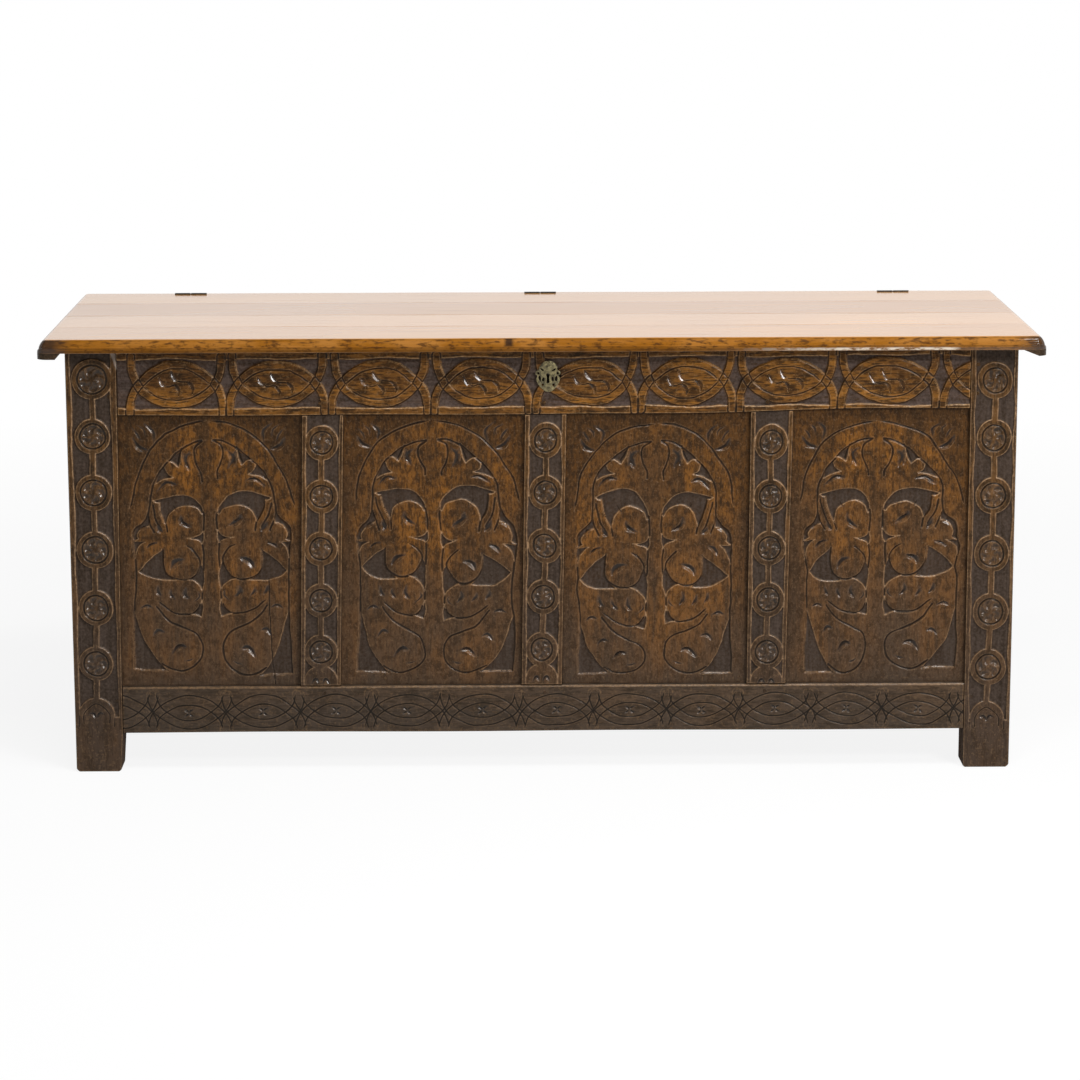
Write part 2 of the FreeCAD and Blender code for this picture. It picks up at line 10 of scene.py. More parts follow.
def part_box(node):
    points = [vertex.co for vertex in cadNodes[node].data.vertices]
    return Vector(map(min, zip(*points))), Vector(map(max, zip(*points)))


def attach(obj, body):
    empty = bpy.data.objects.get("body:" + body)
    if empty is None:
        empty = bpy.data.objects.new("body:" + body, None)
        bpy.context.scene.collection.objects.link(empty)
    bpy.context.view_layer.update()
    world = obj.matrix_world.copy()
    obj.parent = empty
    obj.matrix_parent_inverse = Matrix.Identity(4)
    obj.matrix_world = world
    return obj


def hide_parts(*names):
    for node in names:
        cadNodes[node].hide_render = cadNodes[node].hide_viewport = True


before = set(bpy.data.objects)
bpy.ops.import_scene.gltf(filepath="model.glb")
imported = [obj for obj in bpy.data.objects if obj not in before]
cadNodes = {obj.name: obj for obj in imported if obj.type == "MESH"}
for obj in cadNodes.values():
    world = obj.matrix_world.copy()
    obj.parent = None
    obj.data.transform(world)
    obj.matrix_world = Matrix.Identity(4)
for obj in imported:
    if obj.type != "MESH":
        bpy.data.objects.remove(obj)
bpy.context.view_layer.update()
mm = 0.001
print("coffer: frame loaded,", len(cadNodes), "nodes")


# small helpers

def cadSpan(node):
    low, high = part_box(node)
    return np.array(low) / mm, np.array(high) / mm


# a finished piece takes its name from the node that it stands for
def finishMesh(bm, body, node, material, smooth=False):
    words = node.split("_")
    name = words[0] + "".join(word.capitalize() for word in words[1:])
    mesh = bpy.data.meshes.new(name)
    bm.to_mesh(mesh)
    bm.free()
    piece = bpy.data.objects.new(name, mesh)
    bpy.context.scene.collection.objects.link(piece)
    mesh.materials.append(material)
    if smooth:
        mesh.polygons.foreach_set("use_smooth", np.ones(len(mesh.polygons), bool))
    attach(piece, body)
    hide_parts(node)
    return piece


# a slow wander of about one, from a few crossed sine waves
def wander(x, z, size, seed):
    rng = np.random.default_rng(seed)
    total = np.zeros(np.shape(x))
    for k in range(5):
        angle = rng.uniform(0, 2 * math.pi)
        length = size * rng.uniform(0.6, 1.5)
        phase = rng.uniform(0, 2 * math.pi)
        total += np.sin((x * math.cos(angle) + z * math.sin(angle)) * 2 * math.pi / length + phase)
    return total / 2.2


def smoothPath(points, steps=6):
    p = np.array(points, float)
    if len(p) == 2:
        return p
    p = np.vstack([2 * p[0] - p[1], p, 2 * p[-1] - p[-2]])
    share = (np.arange(steps) / steps)[:, None]
    path = []
    for a, b, c, d in zip(p, p[1:], p[2:], p[3:]):
        path.append(0.5 * (2 * b + (c - a) * share + (2 * a - 5 * b + 4 * c - d) * share ** 2
                           + (3 * b - a - 3 * c + d) * share ** 3))
    return np.vstack(path + [p[-2:-1]])


def closedPath(strokes):
    ring = np.vstack([smoothPath(stroke)[:-1] for stroke in strokes])
    return np.vstack([ring, ring[:1]])


def ease(t):
    t = np.clip(t, 0, 1)
    return t * t * (3 - 2 * t)


# 1 at zero, falling evenly to 0 at the given reach
def fade(distance, reach):
    return np.clip(1 - distance / reach, 0, 1)


# carving: depths are worked out on a grid laid over the face of each timber

chisel = {
    "rim": 0.35,     # how far the wood beside sunk ground is rounded down
    "lip": 1.6,      # and how wide
    "arris": 1.2,    # reach of the wear along an arris
    "pull": 0.9,     # how far grid points move onto a drawn line that is near
}


class Carving:
    def __init__(self, x, z):
        self.x, self.z = x, z
        self.all = np.arange(len(x))
        self.cut = np.zeros_like(x)        # depth below the face
        self.ground = np.zeros_like(x)     # 1 on sunk ground
        self.line = np.zeros_like(x)       # 1 where a cut is painted dark as shade: the bottom of a line, a gouge's upper side
        self.edge = np.zeros_like(x)       # 1 on a worn arris
        self.polish = np.ones_like(x)      # 1 where hands and cloths have rubbed it warm
        self.bare = np.zeros_like(x)       # 1 where a chip has left pale wood
        self.gloss = np.zeros_like(x)      # 1 where a blade left a smooth face
        self.paleHighlight = np.zeros_like(x)     # painted highlight on the arris round sunk ground
        self.sense = 1                     # -1 where the drawing is turned over
        self.above = np.full_like(x, 1e3)  # signed distance to whatever stands up
        self.aboveX, self.aboveZ = np.zeros_like(x), np.zeros_like(x)
        self.pull = np.full_like(x, 1e3)   # distance to the nearest drawn line
        self.pullX, self.pullZ = np.zeros_like(x), np.zeros_like(x)

    # grid points round a path: distance, way to the nearest point, share along it, inside or not
    def near(self, path, reach):
        low, high = path.min(0) - reach, path.max(0) + reach
        across = (self.x > low[0]) & (self.x < high[0])
        pick = np.flatnonzero(across & (self.z > low[1]) & (self.z < high[1]))
        x, z = self.x[pick], self.z[pick]
        best = np.full(len(pick), 1e9)
        wayX, wayZ, along = np.zeros(len(pick)), np.zeros(len(pick)), np.zeros(len(pick))
        inside = np.zeros(len(pick), bool)
        last = len(path) - 1
        for i in range(last):
            (ax, az), (bx, bz) = path[i], path[i + 1]
            runX, runZ = bx - ax, bz - az
            t = ((x - ax) * runX + (z - az) * runZ) / max(runX * runX + runZ * runZ, 1e-9)
            t = np.clip(t, 0, 1)
            toX, toZ = ax + t * runX - x, az + t * runZ - z
            distance = toX * toX + toZ * toZ
            closer = distance < best
            best[closer] = distance[closer]
            wayX[closer], wayZ[closer] = toX[closer], toZ[closer]
            along[closer] = (i + t[closer]) / last
            if az != bz:
                inside ^= ((az > z) != (bz > z)) & (x < runX * (z - az) / runZ + ax)
        return pick, np.sqrt(best), wayX, wayZ, along, inside

    # raises one of the fields to new values where they are higher
    def grow(self, field, pick, values):
        held = getattr(self, field)
        held[pick] = np.maximum(held[pick], values)

    def mark(self, pick, distance, wayX, wayZ):
        closer = distance < self.pull[pick]
        rows = pick[closer]
        self.pull[rows] = distance[closer]
        self.pullX[rows], self.pullZ[rows] = wayX[closer], wayZ[closer]

    # ground sunk to a depth wherever sunk is true, with steep sides and worn arrises
    def lower(self, pick, distance, wayX, wayZ, sunk, depth, wall):
        rim = chisel["rim"]
        fall = rim + (depth - rim) * ease(distance / wall)
        self.grow("cut", pick, np.where(sunk, fall, rim * fade(distance, chisel["lip"]) ** 2))
        self.grow("ground", pick, np.where(sunk, np.clip(distance / wall, 0, 1), 0))
        worn = np.where(sunk, distance * 3, distance)
        self.grow("edge", pick, np.exp(-(worn / chisel["arris"]) ** 2))
        # the arris gets a painted highlight, brightest where it faces up and to the right towards the key
        # light, and faint all round
        out = np.where(sunk, -1.0, 1.0) / np.maximum(distance, 1e-3)
        facing = (wayX * self.sense * 0.6 + wayZ * 0.8) * out
        pale = np.exp(-((distance - 0.2) / 1.0) ** 2) * (0.15 + 0.85 * np.clip(facing * 1.7 - 0.3, 0, 1))
        self.grow("paleHighlight", pick, pale)
        self.mark(pick, distance, wayX, wayZ)

    def sink(self, outline, depth, wall=1.5):
        pick, distance, wayX, wayZ, along, inside = self.near(outline, 4)
        self.lower(pick, distance, wayX, wayZ, inside, depth, wall)

    # a hollow with a smooth sloping floor and steep sides; the floor by its deep walls is painted dark as
    # shade, and the whole floor is painted darker by the shade given
    def scoop(self, outline, base, slopeX, slopeZ, shade=0.0, shine=1.6, deepest=5.5):
        pick, distance, wayX, wayZ, along, inside = self.near(outline, 3)
        middle = outline[:-1].mean(0)
        floor = base + slopeX * (self.x[pick] - middle[0]) + slopeZ * (self.z[pick] - middle[1])
        floor = np.clip(floor, 0.3, deepest)
        self.grow("cut", pick, np.where(inside, floor * ease(distance / 0.9), 0))
        steep = np.clip(1.25 - distance / 0.9, 0, 1) * np.clip((floor - 1.4) / 1.6, 0, 1)
        dark = np.maximum(steep, shade * np.clip(distance, 0, 1))
        self.line[pick] = np.where(inside, dark, self.line[pick])
        self.ground[pick] = np.where(inside, 0, self.ground[pick])
        self.gloss[pick] = np.where(inside, shine * np.clip(distance / 0.8, 0, 1), self.gloss[pick])
        self.grow("edge", pick, np.where(inside, 0, 0.7 * np.exp(-(distance / 0.8) ** 2)))
        self.mark(pick, distance, wayX, wayZ)

    # a V cut drawn along a path, or beside it at an offset on both sides; its bottom is painted dark as shade
    def score(self, path, width=1.5, depth=1.2, offset=0.0, ends=0.0):
        pick, distance, wayX, wayZ, along, inside = self.near(path, offset + 4)
        off = np.abs(distance - offset)
        if ends:
            off = off + width * np.clip(1 - np.minimum(along, 1 - along) / ends, 0, 1) * 0.7
        self.grow("cut", pick, depth * fade(off, width))
        self.grow("line", pick, np.clip(1.05 - off / width, 0, 1))
        self.grow("gloss", pick, 0.35 * np.clip(1.2 - off / width, 0, 1))
        self.grow("edge", pick, 0.6 * np.exp(-((off - width) / 0.8) ** 2))
        scale = (distance - offset) / np.maximum(distance, 1e-6)
        self.mark(pick, off, wayX * scale, wayZ * scale)

    # a tapering scoop through three points, with two slopes that meet in the middle; the upper slope is
    # painted dark as shade, as much as dark says
    def gouge(self, start, end, through, width, depth, fullest=0.5, dark=1.5):
        path = smoothPath([start, through, end], 8)
        pick, distance, wayX, wayZ, along, inside = self.near(path, width + 2)
        warped = np.clip(along, 0.001, 0.999) ** (math.log(0.5) / math.log(fullest))
        taper = np.sin(math.pi * warped) ** 0.6
        half = np.maximum(width / 2 * taper, 0.05)
        self.grow("cut", pick, depth * taper * np.clip(1 - (distance / half) ** 1.12, 0, 1))
        upper = np.clip(0.5 - wayZ / np.maximum(half, 0.5), 0, 1)
        self.grow("line", pick, taper * np.clip(1.15 - distance / half, 0, 1) * (0.1 + dark * upper))
        self.grow("gloss", pick, np.clip(2.4 - 2 * distance / half, 0, 1) * (taper > 0.2))
        self.grow("edge", pick, 0.6 * taper * np.exp(-((distance - half) / 0.8) ** 2))

    # a small round pit, painted dark towards its middle as shade
    def dot(self, x, z, radius, depth):
        distance = np.hypot(self.x - x, self.z - z)
        pick = np.flatnonzero(distance < radius)
        self.grow("cut", pick, depth * (1 - (distance[pick] / radius) ** 2))
        self.grow("line", pick, 0.7 * (1 - distance[pick] / radius))

    # shapes left standing: each one keeps the shortest signed distance
    def stand(self, pick, signed, wayX, wayZ):
        closer = signed < self.above[pick]
        rows = pick[closer]
        self.above[rows] = signed[closer]
        self.aboveX[rows], self.aboveZ[rows] = wayX[closer], wayZ[closer]

    def standBand(self, path, half):
        pick, distance, wayX, wayZ, along, inside = self.near(path, half + 30)
        scale = (distance - half) / np.maximum(distance, 1e-6)
        self.stand(pick, distance - half, wayX * scale, wayZ * scale)

    def standShape(self, outline):
        pick, distance, wayX, wayZ, along, inside = self.near(outline, 30)
        self.stand(pick, np.where(inside, -distance, distance), wayX, wayZ)

    def standOval(self, x, z, radiusX, radiusZ):
        overX, overZ = self.x - x, self.z - z
        reach = np.maximum(np.hypot(overX / radiusX, overZ / radiusZ), 1e-3)
        scale = 1 / reach - 1
        signed = np.sign(reach - 1) * np.hypot(overX * scale, overZ * scale)
        self.stand(self.all, signed, overX * scale, overZ * scale)

    # the margins left and right of a sunk stripe
    def standBeside(self, left, right):
        self.stand(self.all, right - self.x, right - self.x, 0 * self.x)
        self.stand(self.all, self.x - left, left - self.x, 0 * self.x)

    # everything outside the standing shapes goes down to the ground
    def clearGround(self, depth, wall=1.6):
        self.lower(self.all, np.abs(self.above), self.aboveX, self.aboveZ, self.above > 0, depth, wall)


grainWaves = {
    "line": (110, 28),          # lengths of the waver in what is drawn
    "ground": ((7, 0.16), (4, 0.12)),   # length and depth of the ripples on sunk ground
    "face": ((120, 0.22), (30, 0.10)),  # and of the unevenness of the face
    "below": 0.25,              # the face lies this far inside the solid, so that nothing stands proud
}


# a timber of the front: a fine grid is cut by its design, then given sides and a back
def carvedTimber(node, shape, design, material):
    cell = shape["cell"] * 1
    left, right, low, high = shape["left"], shape["right"], shape["low"], shape["high"]
    leftMid, rightMid = left(300), right(300)
    midX = (leftMid + rightMid) / 2
    across = max(4, round((rightMid - leftMid) / cell))
    up = max(4, round((high(midX) - low(midX)) / cell))
    bm = bmesh.new()
    bmesh.ops.create_grid(bm, x_segments=across, y_segments=up, size=0.5)
    mesh = bpy.data.meshes.new(node)
    bm.to_mesh(mesh)
    bm.free()
    flat = np.empty(len(mesh.vertices) * 3, np.float32)
    mesh.vertices.foreach_get("co", flat)
    flat = flat.reshape(-1, 3).astype(float)
    shareX, shareZ = flat[:, 0] - flat[:, 0].min(), flat[:, 1] - flat[:, 1].min()
    shareX, shareZ = shareX / shareX.max(), shareZ / shareZ.max()
    roughX = leftMid + shareX * (rightMid - leftMid)
    z = low(roughX) + shareZ * (high(roughX) - low(roughX))
    x = left(z) + shareX * (right(z) - left(z))
    slip, seed = shape["slip"], shape["seed"]

    def carve(x, z):
        long, short = grainWaves["line"]
        drawnX = x + slip * wander(x, z, long, seed) + 0.25 * slip * wander(x, z, short, seed + 1)
        drawnZ = z + slip * wander(x, z, long, seed + 2) + 0.25 * slip * wander(x, z, short, seed + 3)
        work = Carving(drawnX, drawnZ)
        design(work)
        return work

    # the grid is pulled onto the drawn lines, then carved again
    edgeOf = np.minimum(np.minimum(shareX, 1 - shareX) * across, np.minimum(shareZ, 1 - shareZ) * up)
    work = carve(x, z)
    close = (work.pull < 0.55 * cell) & (edgeOf > 1.5)
    x = np.where(close, x + work.pullX * chisel["pull"], x)
    z = np.where(close, z + work.pullZ * chisel["pull"], z)
    work = carve(x, z)

    (coarse, coarseDepth), (fine, fineDepth) = grainWaves["ground"]
    (broad, broadDepth), (narrow, narrowDepth) = grainWaves["face"]
    cut = work.cut + coarseDepth * wander(x, z, coarse, seed + 4) * work.ground
    cut = cut + fineDepth * wander(x, z, fine, seed + 5) * work.ground
    cut = cut + broadDepth * wander(x, z, broad, seed + 6) + narrowDepth * wander(x, z, narrow, seed + 7)
    cut = cut + grainWaves["below"]
    toEdge = np.minimum(np.minimum(x - left(z), right(z) - x), np.minimum(z - low(x), high(x) - z))
    cut = np.maximum(cut, 1.5 * fade(toEdge, 1.5) ** 2)
    # the top chamfer is cut, coated, and painted pale both as worn wood and as a painted highlight of the
    # bright line it catches
    if "chamfer" in shape:
        size, reach = shape["chamfer"], high(x) - z
        cut = np.maximum(cut, size * fade(reach, size))
        work.gloss = np.maximum(work.gloss, 1.5 * np.clip(1 - reach / size, 0, 0.66))
        work.edge = np.maximum(work.edge, 0.8 * (reach < size))
    cut = np.maximum(cut, 0.02)
    worn = np.maximum(work.edge, 0.9 * np.exp(-((toEdge - 1.4) / 0.9) ** 2))
    # the dark cut mark is painted shade in the cuts, lighter where the arris highlight is painted, with dark
    # joint lines along the timber's edges; the pale arris mark is a painted highlight
    fields = {
        "ground": work.ground,
        "cutShadeAndJoints": np.maximum(work.line * (1 - 0.9 * work.paleHighlight), np.clip(1.6 - toEdge / 0.7, 0, 1)),
        "worn": np.maximum(worn, work.paleHighlight),
        "polish": work.polish,
        "bare": work.bare,
        "gloss": np.maximum(work.gloss, 0.9 * work.paleHighlight),
    }
    flat[:, 0], flat[:, 1], flat[:, 2] = x * mm, (shape["face"] + cut) * mm, z * mm
    mesh.vertices.foreach_set("co", flat.astype(np.float32).ravel())
    for label, values in fields.items():
        mesh.attributes.new(label, "FLOAT", "POINT").data.foreach_set("value", values.astype(np.float32))
    mesh.polygons.foreach_set("use_smooth", np.ones(len(mesh.polygons), bool))

    bm = bmesh.new()
    bm.from_mesh(mesh)
    bpy.data.meshes.remove(mesh)
    plain = [bm.verts.layers.float[label] for label in fields if label != "polish"]
    turned = []
    # a narrow strip first, so that the marks on the face end there
    for strip in (True, False):
        rim = [e for e in bm.edges if e.is_boundary]
        grown = bmesh.ops.extrude_edge_only(bm, edges=rim)["geom"]
        for v in grown:
            if isinstance(v, bmesh.types.BMVert):
                v.co.y = v.co.y + 0.6 * mm if strip else shape["back"] * mm
                for layer in plain:
                    v[layer] = 0
        turned += [f for f in grown if isinstance(f, bmesh.types.BMFace)]
    turned += bmesh.ops.edgeloop_fill(bm, edges=[e for e in bm.edges if e.is_boundary])["faces"]
    for f in turned:
        f.smooth = False
    bmesh.ops.recalc_face_normals(bm, faces=bm.faces)
    if "field" in shape:
        addField(bm, shape["field"])
    print("coffer: carved", node, len(bm.verts), "points")
    finishMesh(bm, "carcass", node, material)


# the raised field on the back of a panel, bevelled all round
def addField(bm, field):
    for v in bmesh.ops.create_cube(bm, size=1.0)["verts"]:
        far = v.co.y > 0
        inset = field["feather"] if far else 0
        v.co.x = (field["x1"] - inset if v.co.x > 0 else field["x0"] + inset) * mm
        v.co.z = (field["z1"] - inset if v.co.z > 0 else field["z0"] + inset) * mm
        v.co.y = (field["far"] if far else field["near"]) * mm


# shader maths: an expression on values adds its nodes

class Value:
    def __init__(self, tree, socket):
        self.tree, self.socket = tree, socket

    def math(self, operation, other=None, swap=False):
        node = self.tree.nodes.new("ShaderNodeMath")
        node.operation = operation
        for slot, item in zip(node.inputs, (other, self) if swap else (self, other)):
            if isinstance(item, Value):
                self.tree.links.new(item.socket, slot)
            elif item is not None:
                slot.default_value = item
        return Value(self.tree, node.outputs[0])

    __add__ = __radd__ = partialmethod(math, "ADD")
    __sub__ = partialmethod(math, "SUBTRACT")
    __rsub__ = partialmethod(math, "SUBTRACT", swap=True)
    __mul__ = __rmul__ = partialmethod(math, "MULTIPLY")
    __truediv__ = partialmethod(math, "DIVIDE")
    __rtruediv__ = partialmethod(math, "DIVIDE", swap=True)
    most = partialmethod(math, "MAXIMUM")
    size = partialmethod(math, "ABSOLUTE")

    def clamp(self):
        return self.most(0.0).math("MINIMUM", 1.0)

    # 0 to 1 as the value goes from low to high
    def step(self, low, high):
        return ((self - low) / (high - low)).clamp()


class Paint:
    def __init__(self, name, shift=0.0):
        self.material = bpy.data.materials.new(name)
        self.material.use_nodes = True
        self.tree = self.material.node_tree
        self.tree.nodes.clear()
        self.shader = self.tree.nodes.new("ShaderNodeBsdfPrincipled")
        self.output = self.tree.nodes.new("ShaderNodeOutputMaterial")
        self.tree.links.new(self.shader.outputs[0], self.output.inputs[0])
        self.place = self.node("ShaderNodeTexCoord").outputs["Object"]
        self.away = (shift, shift * 0.7, shift * 1.3)  # each wood has its own stretch of grain
        self.colour = (0.0, 0.0, 0.0)

    # any node: settings first, then values or links for its sockets
    def node(self, kind, settings=None, **sockets):
        node = self.tree.nodes.new(kind)
        for key, value in (settings or {}).items():
            setattr(node, key, value)
        for key, value in sockets.items():
            numbered = key[0] == "i" and key[1:].isdigit()
            self.feed(node.inputs[int(key[1:]) if numbered else key.replace("_", " ")], value)
        return node

    def feed(self, socket, value):
        if isinstance(value, Value):
            value = value.socket
        if isinstance(value, bpy.types.NodeSocket):
            self.tree.links.new(value, socket)
        elif socket.type == "RGBA" and len(value) == 3:
            socket.default_value = (*value, 1)
        else:
            socket.default_value = value

    def value(self, socket):
        return Value(self.tree, socket)

    def noise(self, scale, stretch=(1, 1, 1), detail=4.0, rough=0.55):
        where = self.node("ShaderNodeMapping", Vector=self.place, Scale=tuple(scale * s for s in stretch),
                          Location=self.away).outputs[0]
        return self.value(self.node("ShaderNodeTexNoise", Vector=where, Scale=1.0, Detail=detail,
                                    Roughness=rough).outputs["Fac"])

    def attribute(self, name):
        return self.value(self.node("ShaderNodeAttribute", {"attribute_name": name}).outputs["Fac"])

    def mix(self, share, first, second):
        node = self.node("ShaderNodeMix", {"data_type": "RGBA"}, i0=share, i6=first, i7=second)
        return node.outputs[2]

    # one more colour over what is there
    def over(self, share, colour):
        self.colour = self.mix(share, self.colour, colour)

    def set(self, **values):
        for key, value in values.items():
            self.feed(self.shader.inputs[key.replace("_", " ")], value)

    def bump(self, strength, distance, height):
        bump = self.node("ShaderNodeBump", Strength=strength, Distance=distance, Height=height)
        self.set(Normal=bump.outputs[0])


def shaded(colour, share):
    return tuple(c * share for c in colour)


# woods and metals

waxed = {"shine": 0.12, "tint": (1.0, 0.88, 0.74)}
woods = {
    "oakCarved": {
        "amber": (0.240, 0.098, 0.015), "brown": (0.076, 0.032, 0.009), "dark": (0.016, 0.008, 0.003),
        "grey": (0.062, 0.041, 0.027), "ground": (0.078, 0.057, 0.050), "worn": (0.420, 0.250, 0.115),
        **waxed, "age": 0.85, "rough": 0.30, "streaks": 0.80, "mottle": 0.70},
    "oakUpright": {
        "amber": (0.112, 0.052, 0.016), "brown": (0.043, 0.022, 0.009), "dark": (0.014, 0.008, 0.004),
        "grey": (0.044, 0.031, 0.024), "ground": (0.057, 0.041, 0.033), "worn": (0.330, 0.200, 0.105),
        **waxed, "age": 0.85, "rough": 0.29, "streaks": 0.70, "mottle": 0.65},
    "oakSkirt": {
        "amber": (0.096, 0.052, 0.024), "brown": (0.042, 0.027, 0.016), "dark": (0.012, 0.008, 0.005),
        "grey": (0.048, 0.036, 0.028), "ground": (0.040, 0.030, 0.024), "worn": (0.260, 0.150, 0.070),
        **waxed, "age": 0.8, "rough": 0.32, "streaks": 0.70, "mottle": 0.65},
    "oakPanel": {
        "amber": (0.172, 0.067, 0.011), "brown": (0.058, 0.027, 0.009), "dark": (0.018, 0.009, 0.004),
        "grey": (0.049, 0.036, 0.027), "ground": (0.050, 0.037, 0.030), "worn": (0.330, 0.200, 0.105),
        **waxed, "age": 0.9, "rough": 0.29, "streaks": 0.65, "mottle": 0.65, "short": 1.8},
    "oakSide": {
        "amber": (0.165, 0.078, 0.026), "brown": (0.082, 0.042, 0.019), "dark": (0.022, 0.014, 0.008),
        "grey": (0.082, 0.058, 0.043), "ground": (0.082, 0.058, 0.043), "worn": (0.240, 0.125, 0.050),
        "shine": 0.2, "age": 0.8, "rough": 0.45, "streaks": 0.6, "mottle": 0.6},
    "oakBack": {
        "amber": (0.270, 0.165, 0.095), "brown": (0.155, 0.100, 0.063), "dark": (0.052, 0.036, 0.025),
        "grey": (0.165, 0.122, 0.093), "ground": (0.165, 0.122, 0.093), "worn": (0.300, 0.205, 0.135),
        "shine": 0.15, "age": 0.5, "rough": 0.75, "streaks": 0.6, "mottle": 0.5},
    "oakFloor": {
        "amber": (0.240, 0.155, 0.085), "brown": (0.160, 0.100, 0.055), "dark": (0.055, 0.036, 0.022),
        "grey": (0.140, 0.105, 0.078), "ground": (0.140, 0.105, 0.078), "worn": (0.260, 0.180, 0.110),
        "shine": 0.15, "age": 0.2, "rough": 0.8, "streaks": 0.5, "mottle": 0.4},
}
freshWood = (0.36, 0.30, 0.25)  # where a sliver has split off


# grain runs along one axis: 0 for rails and lid, 1 for boards front to back, 2 for uprights
def paintOak(name, grain, wood, shift):
    look = woods[wood]
    paint = Paint(name, shift)

    def fibres(scale, length, detail, rough):
        stretch = [1.0, 1.0, 1.0]
        stretch[grain] = length * look.get("short", 1.0)
        return paint.noise(scale, stretch, detail, rough)

    fibre, figure = fibres(170, 0.05, 6, 0.65), fibres(30, 0.08, 4, 0.6)
    streak, smudge = fibres(330, 0.16, 4, 0.6), fibres(75, 0.45, 5, 0.65)
    zone, fleck = paint.noise(8, detail=3, rough=0.5), paint.noise(240, detail=3, rough=0.6)
    ground, cutShadeAndJoints, bare = paint.attribute("ground"), paint.attribute("cutShadeAndJoints"), paint.attribute("bare")
    tone = (figure * 0.45 + fibre * 0.3 + smudge * 0.25).step(0.43, 0.57)
    paint.colour = paint.mix(tone, look["brown"], look["amber"])
    paint.over((1 - zone.step(0.35, 0.62)) * 0.55, look["brown"])
    paint.over((1 - paint.attribute("polish")) * 0.65, shaded(look["brown"], 0.72))
    # grey with age and washing towards the floor
    height = paint.value(paint.node("ShaderNodeSeparateXYZ", Vector=paint.place).outputs[2])
    old = (1 - (height + (zone - 0.5) * 0.4).step(0.05, 0.50)) * look["age"]
    fresh = 1 - old * 0.55
    paint.over(old * (0.75 + smudge.step(0.4, 0.6) * 0.2), look["grey"])
    paint.over(streak.step(0.49, 0.60) * look["streaks"] * fresh, look["dark"])
    paint.over((1 - smudge.step(0.38, 0.52)) * look["mottle"] * fresh, look["dark"])
    paint.over(fleck.step(0.54, 0.68) * 0.14, look["worn"])
    pitted = (fleck * 0.5 + fibre * 0.5).step(0.36, 0.60) * 0.8 + 0.1
    paint.over(ground * 0.92, paint.mix(pitted, look["dark"], look["ground"]))
    # painted shade in the cuts, and dark joint lines along the timber's edges
    paint.over(cutShadeAndJoints.step(0.30, 0.80) * 0.93, shaded(look["dark"], 0.4))
    paint.over(bare * (0.6 + fleck * 0.5), freshWood)
    # worn pale arrises, and painted highlights on the arrises that face the light
    wornAndLit = paint.attribute("worn").step(0.25, 1.0) * (1 - ground).clamp()
    wornAndLit = wornAndLit * (1 - cutShadeAndJoints.step(0.05, 0.4)) * fresh
    paint.over(wornAndLit * (0.25 + fleck.step(0.35, 0.6) * 0.6), look["worn"])
    pores = streak.step(0.5, 0.64)
    normal = paint.node("ShaderNodeNewGeometry").outputs["True Normal"]
    facing = paint.node("ShaderNodeSeparateXYZ", Vector=normal)
    sideways = paint.value(facing.outputs[0]).size().step(0.93, 0.99)
    rough = (look["rough"] + (smudge - 0.5) * 0.25 + ground * 0.10 + pores * 0.10).most(sideways)
    gloss = (paint.attribute("gloss") * 0.38 * (1 - ground) + bare * 0.5).clamp()
    paint.set(Base_Color=paint.colour, Roughness=rough.clamp(), Specular_IOR_Level=look["shine"],
              Specular_Tint=look.get("tint", (1, 1, 1)), Coat_Weight=gloss, Coat_Roughness=0.17)
    paint.bump(0.5, 0.0005, fibre * 0.4 - pores * 0.4 + smudge * 0.3 + fleck * ground * 0.8)
    return paint.material


lidWax = {
    "amber": (0.640, 0.320, 0.100), "brown": (0.480, 0.220, 0.055), "dark": (0.045, 0.016, 0.004),
    "edge": (0.205, 0.072, 0.002), "lip": (0.055, 0.023, 0.005), "end": (0.022, 0.011, 0.006),
    # the pale colour at the end of the next line is a painted highlight on the lower lip
    "under": (0.190, 0.118, 0.068), "underDark": (0.100, 0.060, 0.035), "paleHighlight": (0.50, 0.42, 0.33),
    "rough": 0.24, "shine": 0.05,
    # where each part of the moulding fades in, in heights and distances across, with the crease that is
    # painted dark as shade and the stretch of lip that gets a painted highlight
    "underside": (683.2, 683.9), "lipTop": (687.0, 689.0), "endGrain": (787.0, 789.4),
    "groove": ((687.5, 689.5), (690.5, 692.5)), "nearEnd": (735, 768), "behind": (0.05, 0.20),
    "highlightStretch": ((300, 480), (640, 655)), "knot": 53, "knotSize": (4, 9), "knotFoot": (690, 693),
}


